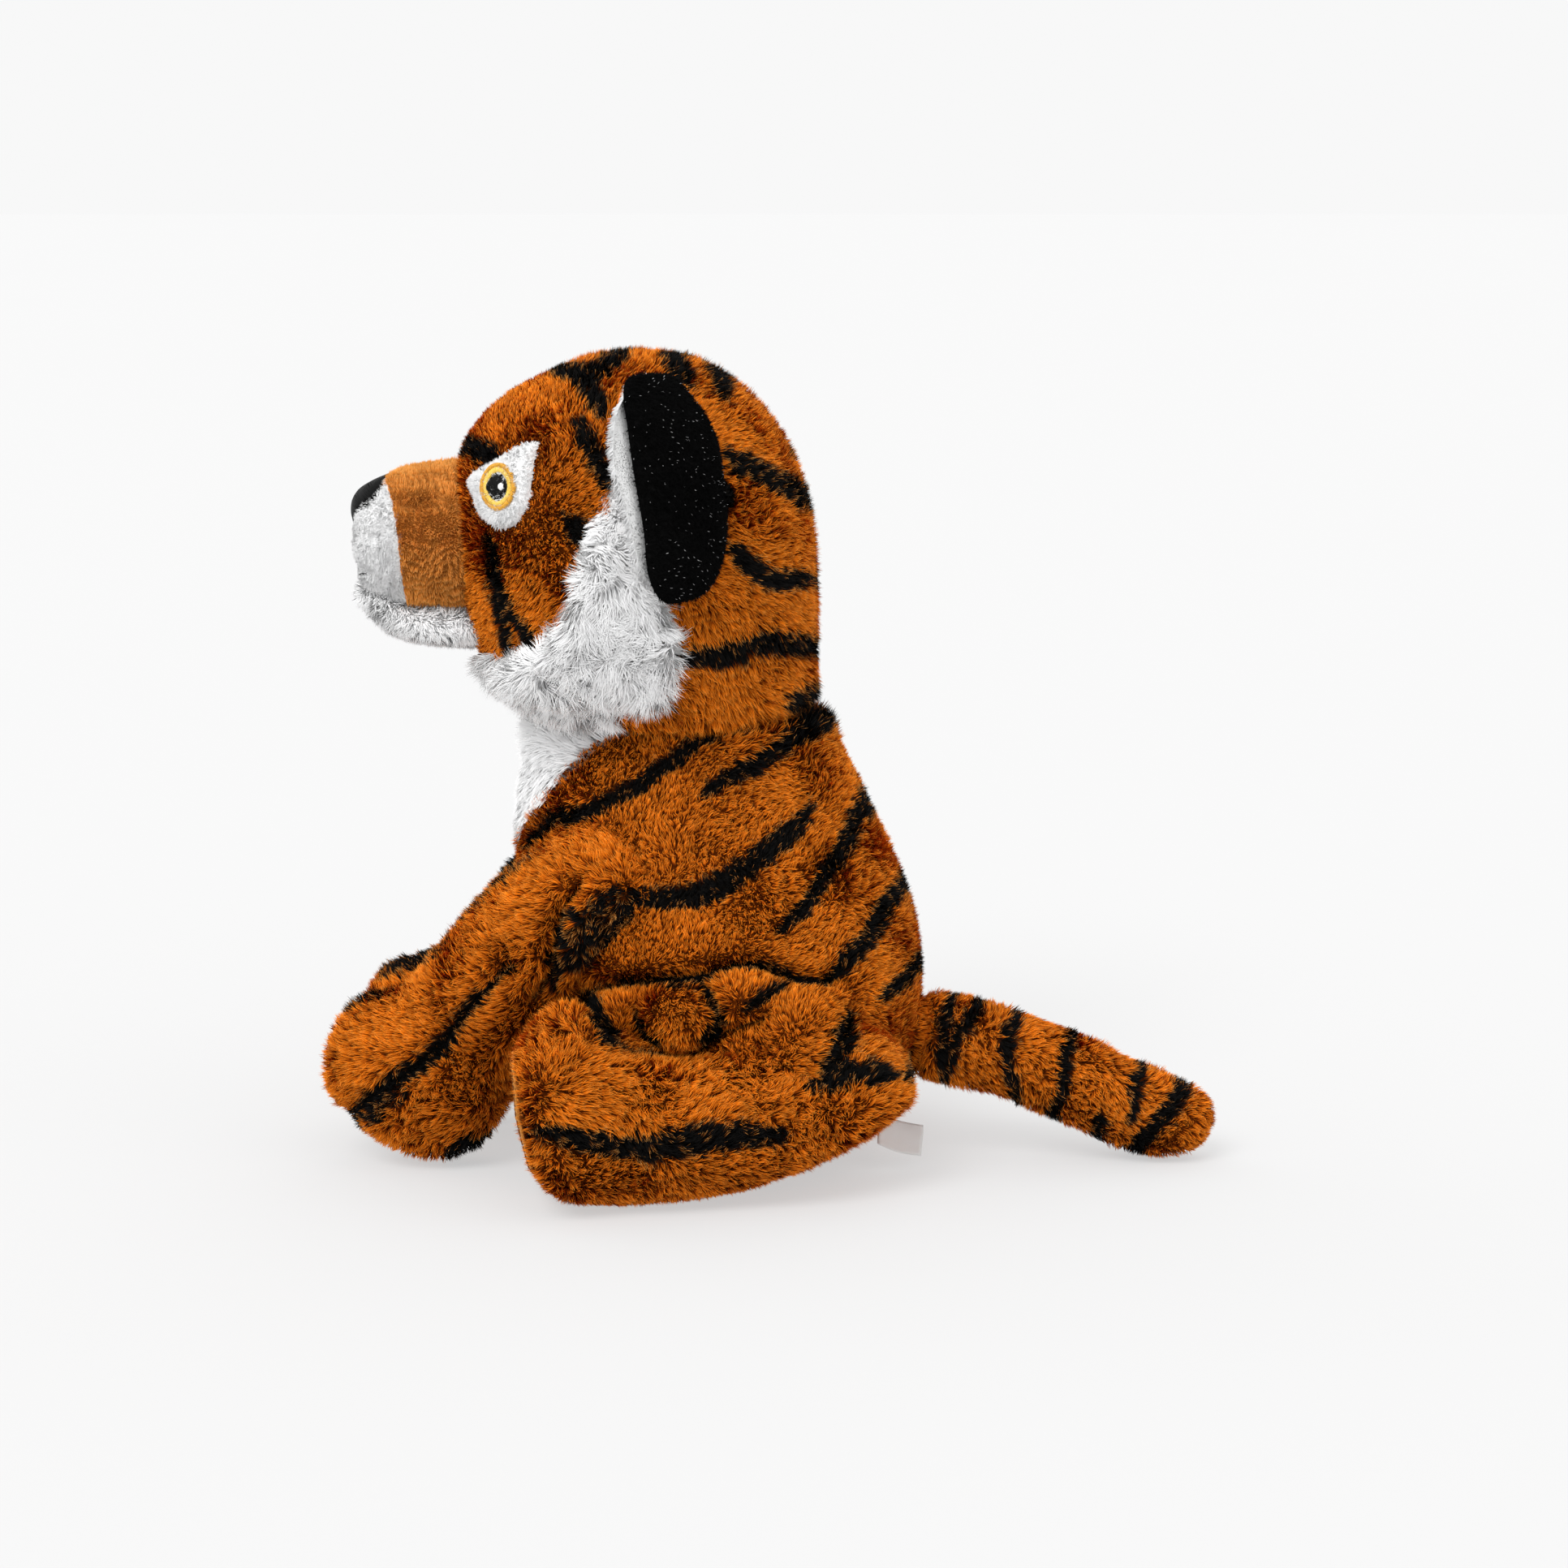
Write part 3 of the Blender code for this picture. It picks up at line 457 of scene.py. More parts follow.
SOFT_TUFTS = (0.7, 0.35, 0.25, 0.0022, 0.4, 1.0, 0.08, 0.55, True)
SHORT_TUFTS = (0.8, 0.5, 0.35, 0.0012, 0.45, 1.0, 0.06, 0.55, True)
TAN_TUFTS = (1.7, 0.12, 0.16, 0.0012, 0.10, 1.0, 0.05, 0.55, True)
TORSO_PILE = Pile(5.6, 0.0038, 0.00030, *FINE_TUFTS)
HEAD_PILE = Pile(5.2, 0.0046, 0.00031, *FINE_TUFTS)
TAIL_PILE = Pile(5.6, 0.0042, 0.00030, *LONG_TUFTS)
LEG_PILE = Pile(5.4, 0.0050, 0.00031, *LONG_TUFTS)
BIB_PILE = Pile(6.0, 0.0042, 0.00036, *BIB_TUFTS)
NECK_PILE = Pile(6.0, 0.0048, 0.00034, *BIB_TUFTS)
RUFF_PILE = Pile(9.0, 0.0095, 0.00032, *RUFF_TUFTS)
SIDE_RUFF_PILE = Pile(6.0, 0.0090, 0.00038, *RUFF_TUFTS)
CHIN_PILE = Pile(9.0, 0.0036, 0.00032, *CHIN_TUFTS)
TAN_PILE = Pile(13.0, 0.0017, 0.00034, *TAN_TUFTS)
FELT_SIDE_PILE = Pile(12.0, 0.0017, 0.00030, *SHORT_TUFTS)
FELT_FRONT_PILE = Pile(10.0, 0.0013, 0.00030, *SHORT_TUFTS)
SOLE_PILE = Pile(12.0, 0.0015, 0.00032, *SHORT_TUFTS)
EYE_PILE = Pile(9.0, 0.0016, 0.00030, *SHORT_TUFTS)
EAR_BACK_PILE = Pile(7.0, 0.0016, 0.00032, *SHORT_TUFTS)
LINING_PILE = Pile(7.0, 0.0026, 0.00034, *SOFT_TUFTS)
# Ranges of the random shares of a tuft's length, and of a hair's length, width and pull
TUFT_LENGTHS = (0.80, 1.12)
HAIR_LENGTHS = (0.75, 1.1)
HAIR_WIDTHS = (0.7, 1.25)
PULLS = (0.4, 1.2)
# How far a hair's root half and its tip half follow the comb against the skin's normal
ROOT_STAND = 0.35
ROOT_COMB = 0.55
TIP_COMB = 1.15
# Shades: patches over the pile, and the least and most a hair may have
PATCH_SIZE = 0.018
PATCH_DEPTH = 0.06
SHADES = (0.06, 0.94)


def unit(vectors):
    return vectors / np.maximum(np.linalg.norm(vectors, axis=-1, keepdims=True), 1e-9)


def share_of(values, start, reach):
    """Shares from 0 at a start to 1 at the end of a reach, which may be negative."""
    return np.clip((values - start) / reach, 0, 1)


camera_back = np.array((
    math.sin(CAMERA_AZIMUTH) * math.cos(CAMERA_ELEVATION),
    -math.cos(CAMERA_AZIMUTH) * math.cos(CAMERA_ELEVATION),
    math.sin(CAMERA_ELEVATION),
))
camera_place = CAMERA_TARGET + CAMERA_DISTANCE * camera_back
camera_right = np.array((math.cos(CAMERA_AZIMUTH), math.sin(CAMERA_AZIMUTH), 0.0))
camera_up = np.cross(camera_back, camera_right)
focal_pixels = PHOTO_SIZE / 2 / math.tan(CAMERA_VIEW / 2)


def to_photo(points, side=-1):
    """Where the photo shows these points, each taken on the toy's left side, or on its right for side 1."""
    near = np.array(points, float)
    near[:, 1] = side * np.abs(near[:, 1])
    from_camera = near - camera_place
    depth = -from_camera @ camera_back
    across = PHOTO_SIZE / 2 + from_camera @ camera_right / depth * focal_pixels
    down = PHOTO_SIZE / 2 - from_camera @ camera_up / depth * focal_pixels
    return np.stack((across, down), 1)


def sight(pixel):
    """The direction from the camera through a pixel of the photo."""
    x = (pixel[0] - PHOTO_SIZE / 2) / focal_pixels
    y = (PHOTO_SIZE / 2 - pixel[1]) / focal_pixels
    return unit(camera_right * x + camera_up * y - camera_back)


def to_segment(places, start, end):
    """Distance of places from a line between two points, and how far along it each is."""
    start = np.array(start, float)
    step = np.array(end, float) - start
    along = np.clip((places - start) @ step / max(step @ step, 1e-9), 0, 1)
    return np.linalg.norm(places - start - along[:, None] * step, axis=1), along


def stripe_depth(places, stripes):
    """How deep in a stripe each place is, in the photo's pixels. It is negative outside them all."""
    deepest = np.full(len(places), -1e3)
    for width, *points in stripes:
        spans = [math.dist(a, b) for a, b in zip(points, points[1:])]
        total = sum(spans)
        done = 0
        for a, b, span in zip(points, points[1:], spans):
            distance, along = to_segment(places, a, b)
            share = (done + along * span) / total
            half = (width / 2 + STRIPE_SWELL) * (1 - 0.55 * np.abs(2 * share - 1) ** 4)
            deepest = np.maximum(deepest, half - distance)
            done += span
    return deepest


def outline_depth(places, outline):
    """How deep inside a closed outline each place is, negative outside."""
    nearest = np.full(len(places), 1e9)
    odd = np.zeros(len(places), bool)
    x, y = places[:, 0], places[:, 1]
    for a, b in zip(outline, outline[1:] + outline[:1]):
        nearest = np.minimum(nearest, to_segment(places, a, b)[0])
        if a[1] != b[1]:
            crosses = ((a[1] > y) != (b[1] > y)) & (x < (b[0] - a[0]) * (y - a[1]) / (b[1] - a[1]) + a[0])
            odd ^= crosses
    return np.where(odd, nearest, -nearest)


def line_distance(places, points):
    """How far places are from a line through points."""
    return np.minimum.reduce([to_segment(places, a, b)[0] for a, b in zip(points, points[1:])])


def nearest_on(outline, places):
    """The nearest point to each place on a closed outline."""
    nearest = np.full(len(places), 1e9)
    goal = places.copy()
    for a, b in zip(outline, outline[1:] + outline[:1]):
        distance, along = to_segment(places, a, b)
        closer = distance < nearest
        nearest[closer] = distance[closer]
        goal[closer] = (np.array(a, float) + along[:, None] * (np.array(b, float) - a))[closer]
    return goal


def ripple(points, wavelength, seed, waves=7):
    """A smooth random field over space, about -1 to 1."""
    rng = np.random.default_rng(seed)
    total = np.zeros(len(points))
    for _ in range(waves):
        direction = unit(rng.normal(size=3)) * (2 * math.pi / wavelength * rng.uniform(0.6, 1.5))
        total += np.sin(points @ direction + rng.uniform(0, 2 * math.pi))
    return total / math.sqrt(waves)


def ripples(points, wavelength, seed):
    return np.stack([ripple(points, wavelength, seed + k) for k in range(3)], 1)


def new_mesh(name, places, faces, material, normals=None, hair_map=None):
    """A mesh object from arrays. Every face has as many corners as a row of faces is long."""
    mesh = bpy.data.meshes.new(name)
    faces = np.asarray(faces, np.int32)
    count, corners = faces.shape
    mesh.vertices.add(len(places))
    mesh.vertices.foreach_set("co", np.asarray(places, np.float32).ravel())
    mesh.loops.add(count * corners)
    mesh.loops.foreach_set("vertex_index", faces.ravel())
    mesh.polygons.add(count)
    mesh.polygons.foreach_set("loop_start", np.arange(0, count * corners, corners, dtype=np.int32))
    mesh.polygons.foreach_set("use_smooth", np.full(count, True))
    mesh.update(calc_edges=True)
    if normals is not None:
        kept = mesh.attributes.new("custom_normal", "FLOAT_VECTOR", "POINT")
        kept.data.foreach_set("vector", np.asarray(normals, np.float32).ravel())
    if hair_map is not None:
        layer = mesh.uv_layers.new(name="OFBake")
        layer.data.foreach_set("uv", np.asarray(hair_map, np.float32)[faces.ravel()].ravel())
    mesh.materials.append(material)
    obj = bpy.data.objects.new(name, mesh)
    bpy.context.scene.collection.objects.link(obj)
    return obj


class Skin:
    """The smooth cloth under a pile: places, normals and triangles as arrays."""

    def __init__(self, places, triangles):
        self.places = places
        self.triangles = triangles
        self.edges = np.unique(np.sort(np.concatenate(
            (triangles[:, :2], triangles[:, 1:], triangles[:, ::2])), axis=1), axis=0)
        self.buried = np.zeros(len(places))
        self.renew()

    def renew(self):
        a, b, c = (self.places[self.triangles[:, k]] for k in range(3))
        across = np.cross(b - a, c - a)
        self.areas = np.linalg.norm(across, axis=1) / 2
        total = np.zeros_like(self.places)
        for k in range(3):
            for axis in range(3):
                total[:, axis] += np.bincount(self.triangles[:, k], across[:, axis], len(total))
        self.normals = unit(total)

    def smooth(self, rounds):
        first, second = self.edges.T
        count = np.bincount(np.concatenate((first, second)), minlength=len(self.places))
        for number in range(rounds * 2):
            pull = 0.55 if number % 2 == 0 else -0.565
            for_all = np.zeros_like(self.places)
            for axis in range(3):
                for_all[:, axis] = np.bincount(first, self.places[second, axis], len(for_all))
                for_all[:, axis] += np.bincount(second, self.places[first, axis], len(for_all))
            self.places += pull * (for_all / count[:, None] - self.places)
        self.renew()

    def push(self, distance):
        """Moves every place along its normal."""
        self.places = self.places + self.normals * np.reshape(distance, (-1, 1))
        self.renew()

    def move(self, share, way):
        """Moves each place by its share of a way."""
        self.places = self.places + share[:, None] * way
        self.renew()

    def tree(self):
        return BVHTree.FromPolygons(self.places.tolist(), self.triangles.tolist())


def largest_shell(places, triangles):
    """The triangles of the connected shell with the largest box."""
    label = np.arange(len(places))
    while True:
        lowest = np.minimum.reduce([label[triangles[:, k]] for k in range(3)])
        fresh = label.copy()
        for k in range(3):
            np.minimum.at(fresh, triangles[:, k], lowest)
        fresh = fresh[fresh]
        if np.array_equal(fresh, label):
            break
        label = fresh
    shells = label[triangles[:, 0]]
    sizes = {s: np.ptp(places[label == s], axis=0).sum() for s in np.unique(shells)}
    kept = triangles[shells == max(sizes, key=sizes.get)]
    used, kept = np.unique(kept, return_inverse=True)
    return places[used], kept.reshape(-1, 3)


def skin_from(nodes, voxel, sink, rounds=SMOOTHING_ROUNDS, balls=()):
    """One closed skin round CAD nodes, and round balls that fill the gaps at a joint."""
    bm = bmesh.new()
    for node in nodes:
        bm.from_mesh(frame["nodes"][node].data)
    bmesh.ops.remove_doubles(bm, verts=bm.verts[:], dist=1e-6)
    for centre, radius in balls:
        bmesh.ops.create_icosphere(bm, subdivisions=3, radius=radius, matrix=Matrix.Translation(centre))
    mesh = bpy.data.meshes.new("rough")
    bm.to_mesh(mesh)
    bm.free()
    rough = bpy.data.objects.new("rough", mesh)
    bpy.context.scene.collection.objects.link(rough)
    remesh = rough.modifiers.new("remesh", "REMESH")
    remesh.mode = "VOXEL"
    remesh.voxel_size = voxel
    done = rough.evaluated_get(bpy.context.evaluated_depsgraph_get()).to_mesh()
    done.calc_loop_triangles()
    places = np.zeros(len(done.vertices) * 3, np.float32)
    done.vertices.foreach_get("co", places)
    triangles = np.zeros(len(done.loop_triangles) * 3, np.int32)
    done.loop_triangles.foreach_get("vertices", triangles)
    bpy.data.objects.remove(rough)
    places, triangles = largest_shell(places.reshape(-1, 3).astype(float), triangles.reshape(-1, 3))
    skin = Skin(places, triangles)
    skin.smooth(rounds)
    skin.push(np.full(len(skin.places), -sink))
    return skin


def leaves(tree, place, direction):
    """Whether a ray from a place first meets a closed surface from the inside."""
    hit, normal, _, _ = tree.ray_cast(place, direction)
    return hit is not None and normal.dot(direction) > 0


def bury(skin, others):
    """Notes which places of a skin lie well inside another skin, where no hair is grown."""
    for other, tree in others:
        boxed = (skin.places > other.places.min(0)) & (skin.places < other.places.max(0))
        for index in np.flatnonzero(boxed.all(axis=1)):
            place = skin.places[index]
            directions = (Vector(skin.normals[index]), Vector((0, 0, 1)), Vector((0.3, 0.5, -0.8)))
            if tree.find_nearest(place)[3] > BURIED and all(leaves(tree, place, way) for way in directions):
                skin.buried[index] = 1


def sculpt(skin, seed):
    """Presses the photo's creases into a skin, swells its lumps out and makes it a little uneven."""
    seen = to_photo(skin.places)
    rise = ripple(skin.places, UNEVEN_LENGTH, seed) * UNEVEN_RISE
    sideways = np.clip(skin.normals[:, 1] * np.sign(skin.places[:, 1]) * 1.8 + 0.2, 0, 1)
    for height, radius, centre in LUMPS:
        reach = np.linalg.norm(seen - centre, axis=1) / radius
        rise = np.maximum(rise, height * np.clip(1 - reach ** 2, 0, 1) ** 0.6)
    for depth, width, *points in CREASES:
        rise = rise - depth * np.exp(-(line_distance(seen, points) / width) ** 2)
    skin.push(rise * sideways)
    skin.smooth(1)


def raise_foot(skin):
    """Lifts the top of a hind foot, which stands higher than the leg behind it."""
    reach = np.linalg.norm(to_photo(skin.places) - FOOT_TOP, axis=1) / FOOT_TOP_REACH
    skin.move(np.clip(1 - reach ** 2, 0, 1), (0, 0, FOOT_RISE))


def lower_paw(skin):
    """Lets a front paw's sole down to the floor."""
    ahead = share_of(skin.places[:, 0], PAW_BACK_X, -PAW_FADE)
    low = share_of(skin.places[:, 2], PAW_LOW_Z, -PAW_LOW_Z)
    skin.move(ahead * low, (0, 0, -PAW_DROP))


def centre_seam(skin, depth):
    """Draws a seam in along the toy's middle where the skin faces rearward."""
    facing = np.clip(skin.normals[:, 0] * 2, 0, 1)
    skin.push(-depth * np.exp(-(skin.places[:, 1] / SEAM_WIDTH) ** 2) * facing)


def pull_inside(skin, outline, side, rounds=2):
    """Moves what the photo would show outside an outline onto it, on the toy's two sides alike."""
    seen = to_photo(skin.places, side)
    outside = outline_depth(seen, outline) < 0
    shift = (nearest_on(outline, seen) - seen) * outside[:, None] * CAMERA_DISTANCE / focal_pixels
    skin.places = skin.places + shift[:, :1] * (1, 0, 0) - shift[:, 1:] * (0, 0, 1)
    skin.smooth(rounds)


class Paint:
    """A material's node tree round its Principled shader. Sockets go by name, with _ for a space, or by number."""

    def __init__(self, name, **values):
        self.material = bpy.data.materials.new(name)
        self.material.use_nodes = True
        self.tree = self.material.node_tree
        self.shader = self.tree.nodes["Principled BSDF"]
        self.fill(self.shader, values)

    def fill(self, node, values):
        """Links or sets a node's inputs."""
        for key, value in values.items():
            socket = node.inputs[key.replace("_", " ") if isinstance(key, str) else key]
            if isinstance(value, bpy.types.NodeSocket):
                self.tree.links.new(value, socket)
            else:
                socket.default_value = value

    def add(self, kind, inputs=(), output=0, **settings):
        """Adds a node with its settings and inputs, and returns one of its outputs."""
        node = self.tree.nodes.new(f"ShaderNode{kind}")
        for key, value in settings.items():
            setattr(node, key, value)
        self.fill(node, dict(inputs))
        return node.outputs[output]

    def ramp(self, value, *stops):
        node = self.tree.nodes.new("ShaderNodeValToRGB")
        elements = node.color_ramp.elements
        while len(elements) < len(stops):
            elements.new(0.5)
        for element, (place, colour) in zip(elements, stops):
            element.position = place
            element.color = (*colour, 1.0)
        self.fill(node, {0: value})
        return node.outputs[0]

    def mix(self, factor, first, second):
        return self.add("Mix", {0: factor, 6: first, 7: second}, 2, data_type="RGBA")

    def place(self):
        return self.add("TexCoord", output="Object")

    def noise(self, scale, detail):
        return self.add("TexNoise", {"Vector": self.place(), "Scale": scale, "Detail": detail})

    def finish(self, colour, height, strength, distance):
        """Sets the shader's colour and bump, and returns the material."""
        bump = self.add("Bump", {"Height": height, "Strength": strength, "Distance": distance})
        self.fill(self.shader, {"Base Color": colour, "Normal": bump})
        return self.material


# A kind of hair or thread: its material, its slot in the record and how many families of colour it has
Fibre = namedtuple("Fibre", "material slot families")


def make_hair(name, slot, families, specular=0.06, shade_reach=0.45):
    """Pile colours. The map's first number runs along a hair, its second is the family and the shade."""
    paint = Paint(name, Roughness=0.8, Specular_IOR_Level=specular)
    hair_map = paint.add("UVMap", uv_map="OFBake")
    along = paint.add("SeparateXYZ", {0: hair_map})
    kind = along.node.outputs[1]
    share = 1 / len(families)
    colour = None
    for index, stops in enumerate(families):
        shade = paint.add("MapRange", {
            "Value": kind, "From Min": index * share, "From Max": (index + 1) * share,
            "To Min": 1 - shade_reach, "To Max": 1 + shade_reach,
        })
        shaded = paint.add("VectorMath", {0: paint.ramp(along, *stops), "Scale": shade}, operation="SCALE")
        if index:
            later = paint.add("Math", {0: kind, 1: index * share}, operation="GREATER_THAN")
            shaded = paint.mix(later, colour, shaded)
        colour = shaded
    paint.fill(paint.shader, {"Base Color": colour})
    return Fibre(paint.material, slot, len(families))


def make_cloth(name, colour, dark=STRIPE_CLOTH, white=PANEL_CLOTH, deep=0.45):
    """The backing cloth under the pile: matted, mottled, dark in the stripes and pale in the white panels."""
    paint = Paint(name, Roughness=0.95, Specular_IOR_Level=0.04)
    grain = paint.noise(*CLOTH_GRAIN)
    shown = paint.ramp(grain, (0.3, tuple(c * deep for c in colour)), (0.7, colour))
    for label, tone in (("stripe", dark), ("white", white)):
        shown = paint.mix(paint.add("Attribute", output="Fac", attribute_name=label), shown, (*tone, 1.0))
    return paint.finish(shown, grain, *CLOTH_BUMP)


def make_thread(name, slot, colour, dark, roughness=0.38, specular=0.5):
    """Shiny twisted thread: fine bright and dark plies along each stitch."""
    paint = Paint(name, Roughness=roughness, Specular_IOR_Level=specular)
    plies = paint.noise(*THREAD_GRAIN)
    return Fibre(paint.finish(paint.ramp(plies, (0.3, dark), (0.65, colour)), plies, *THREAD_BUMP), slot, 1)


def make_tape(warp, weft):
    """White woven tape: fine ribs one way, finer threads the other."""
    paint = Paint("label_tape", Roughness=0.55, Sheen_Weight=0.15)
    waves = []
    for direction, wavelength in zip((warp, weft), TAPE_WAVES):
        way = tuple(direction * 2 * math.pi / wavelength)
        phase = paint.add("VectorMath", {0: paint.place(), 1: way}, "Value", operation="DOT_PRODUCT")
        waves.append(paint.add("Math", {0: phase}, operation="SINE"))
    weave = paint.add("Math", dict(enumerate(waves)), operation="MULTIPLY")
    return paint.finish(paint.ramp(weave, *TAPE_TONES), weave, *TAPE_BUMP)


def dress(obj, holder, slot, *replaced, fill=None):
    """Hangs a piece on the body it rides on, or bakes it in place, and hides the CAD nodes it replaces. The slot and
    fill are not used.

    holder is a body's name, or two bodies and the points where the bend between them starts and ends; these bodies
    and points are not used.
    """
    if isinstance(holder, str):
        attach(obj, holder)
    else:
        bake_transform(obj)
    if replaced:
        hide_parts(*replaced)


def show_skin(name, skin, cloth, holder, slot, *replaced, stripe=0, white=0, fill=None):
    """The cloth piece of a skin, with its stripes and white panel as attributes for its material."""
    obj = new_mesh(name, skin.places, skin.triangles, cloth)
    for label, values in (("stripe", stripe), ("white", white)):
        layer = obj.data.attributes.new(label, "FLOAT", "POINT")
        layer.data.foreach_set("value", np.broadcast_to(values, len(skin.places)).astype(np.float32))
    dress(obj, holder, slot, *replaced, fill=fill)


def scatter(skin, density, rng):
    """Random places on the open part of a skin, and its normals there."""
    open_share = 1 - skin.buried[skin.triangles].mean(axis=1)
    weight = skin.areas * (open_share > OPEN_SHARE)
    number = int(weight.sum() * SQUARE_MILLIMETRES * density * QUICK_SHARE)
    picked = np.searchsorted(np.cumsum(weight) / weight.sum(), rng.random(number))
    corners = skin.triangles[np.minimum(picked, len(weight) - 1)]
    first = np.sqrt(rng.random(number))
    second = rng.random(number)
    shares = np.stack((1 - first, first * (1 - second), first * second), 1)[:, :, None]
    return (skin.places[corners] * shares).sum(1), unit((skin.normals[corners] * shares).sum(1))


def tufts_of(roots, size, seed):
    """The number of the tuft that each root is in."""
    warped = roots + ripples(roots, size * 5, seed + 40) * size * 0.8
    cells = np.floor((warped + 0.5) / size).astype(np.int64)
    return np.unique(cells @ np.array((1, 4096, 4096 * 4096)), return_inverse=True)[1]


def tuft_means(places, tuft):
    size = np.bincount(tuft)[:, None]
    return np.stack([np.bincount(tuft, places[:, k]) for k in range(3)], 1) / size


def spikes(roots, tip, normals, facing, across, half):
    """Straight three-sided hairs: corners, their normals, triangles and places on the map."""
    places = np.stack((
        roots + facing * half, roots - facing * half * 0.5 + across * half * 0.87,
        roots - facing * half * 0.5 - across * half * 0.87, tip,
    ), 1)
    corner_normals = unit(normals[:, None] * 0.8 + unit(places - roots[:, None]) * 0.6)
    corner_normals[:, 3] = unit(normals + facing * 0.2)
    return (places, corner_normals, np.array(((0, 1, 3), (1, 2, 3), (2, 0, 3))),
            np.array((0.02, 0.03, 0.04, 0.99)), np.array((-0.004, 0.004, 0, 0.001)))


def blades(roots, middle, tip, normals, facing, across, half, facet):
    """Flat hairs with one bend: corners, their normals, triangles and places on the map."""
    places = np.stack((
        roots - across * half, roots + across * half,
        middle + across * half * 0.85, middle - across * half * 0.85, tip,
    ), 1)
    shown = unit(normals * 0.75 + facing * facet + unit(tip - roots) * 0.2)
    return (places, np.repeat(shown[:, None], 5, axis=1), np.array(((0, 1, 2), (0, 2, 3), (3, 2, 4))),
            np.array((0.02, 0.03, 0.51, 0.50, 0.99)), np.array((-0.004, 0.004, 0.004, -0.004, 0)))


def grow(name, skin, holder, fibre, seed, look, pile):
    """Grows a pile on a skin, as tapered hairs in pieces of at most MOST_HAIRS.

    look gives, for roots and normals, the share of hairs kept, their family and shade from 0 to 1, their
    length share and the way they are combed.
    """
    rng = np.random.default_rng(seed)
    roots, normals = scatter(skin, pile.density, rng)
    kept, *rest = look(roots, normals, rng)
    chosen = rng.random(len(roots)) < kept
    roots, normals, tone, length_share, comb = (values[chosen] for values in (roots, normals, *rest))
    number = len(roots)
    tuft = tufts_of(roots, pile.tuft_size, seed)
    tufts = tuft.max() + 1
    tuft_lean = rng.normal(size=(tufts, 3))
    tuft_length = rng.uniform(*TUFT_LENGTHS, tufts)

    comb = comb + tuft_lean[tuft] * pile.tuft_stray + rng.normal(size=(number, 3)) * pile.hair_stray
    comb -= normals * (comb * normals).sum(1, keepdims=True)
    reach = pile.length * length_share * tuft_length[tuft] * rng.uniform(*HAIR_LENGTHS, number)
    rise = unit(normals * (pile.stand + ROOT_STAND) + comb * ROOT_COMB)
    bend = unit(normals * pile.stand + comb * TIP_COMB)
    middle = roots + rise * (reach * 0.5)[:, None]
    tip = middle + bend * (reach * 0.5)[:, None]
    centre, tuft_tip = tuft_means(roots, tuft), tuft_means(tip, tuft)
    drawn = (pile.pull * rng.uniform(*PULLS, number))[:, None]
    tip = tip + (tuft_tip[tuft] - tip) * drawn
    middle = middle + ((tuft_tip + centre)[tuft] / 2 - middle) * drawn * 0.3

    along = unit(tip - roots)
    across = unit(np.cross(along, normals) + rng.normal(size=(number, 3)) * 0.02)
    turn = rng.uniform(-pile.twist, pile.twist, number)[:, None]
    across = unit(across * np.cos(turn) + np.cross(along, across) * np.sin(turn))
    facing = np.cross(across, along)
    outward = (facing * normals).sum(1) < 0
    across[outward] *= -1
    facing[outward] *= -1
    half = (pile.width * rng.uniform(*HAIR_WIDTHS, number) / 2)[:, None]
    if pile.bristly:
        places, shown, corners, ups, spread = spikes(roots, tip, normals, facing, across, half)
    else:
        places, shown, corners, ups, spread = blades(roots, middle, tip, normals, facing, across, half, pile.facet)
    places[:, :, 2] = np.maximum(places[:, :, 2], FLOOR_CLEARANCE)
    family = np.clip(tone[:, 0], 0, fibre.families - 1)
    patches = ripple(roots, PATCH_SIZE, seed + 50) * PATCH_DEPTH
    shade = tone[:, 1] + patches + rng.normal(size=tufts)[tuft] * pile.mottle * 0.7
    shade = np.clip(shade + rng.normal(size=number) * pile.mottle, *SHADES)
    hair_map = np.zeros((*places.shape[:2], 2))
    hair_map[:, :, 0] = ups
    hair_map[:, :, 1] = ((family + shade) / fibre.families)[:, None] + spread

    for part, start in enumerate(range(0, number, MOST_HAIRS)):
        some = slice(start, min(start + MOST_HAIRS, number))
        faces = (np.arange(some.stop - some.start) * len(ups))[:, None, None] + corners
        obj = new_mesh(
            f"{name}_{part + 1}", places[some].reshape(-1, 3), faces.reshape(-1, 3), fibre.material,
            shown[some].reshape(-1, 3), hair_map[some].reshape(-1, 2),
        )
        dress(obj, holder, fibre.slot)


def make_camera():
    camera = bpy.data.objects.new("camera", bpy.data.cameras.new("camera"))
    bpy.context.scene.collection.objects.link(camera)
    camera.location = camera_place
    camera.rotation_euler = Vector(-camera_back).to_track_quat("-Z", "Y").to_euler()
    camera.data.angle = CAMERA_VIEW
    camera.data.clip_start, camera.data.clip_end = CAMERA_CLIP
    bpy.context.scene.camera = camera


def make_lights():
    """The world's glow and the lamps. Returns how brightly they light a level surface."""
    scene = bpy.context.scene
    scene.view_settings.view_transform = "Standard"
    scene.world = bpy.data.worlds.new("studio")
    scene.world.use_nodes = True
    scene.world.node_tree.nodes["Background"].inputs["Color"].default_value = (*WORLD_COLOUR, 1.0)
    lit = WORLD_COLOUR[0]
    for name, place, glow, power in LIGHTS:
        lamp = bpy.data.lights.new(name, "SUN")
        lamp.angle = math.radians(glow)
        lamp.energy = power
        obj = bpy.data.objects.new(name, lamp)
        obj.rotation_euler = Vector(place).to_track_quat("Z", "Y").to_euler()
        scene.collection.objects.link(obj)
        lit += power * Vector(place).normalized().z / math.pi
    return lit


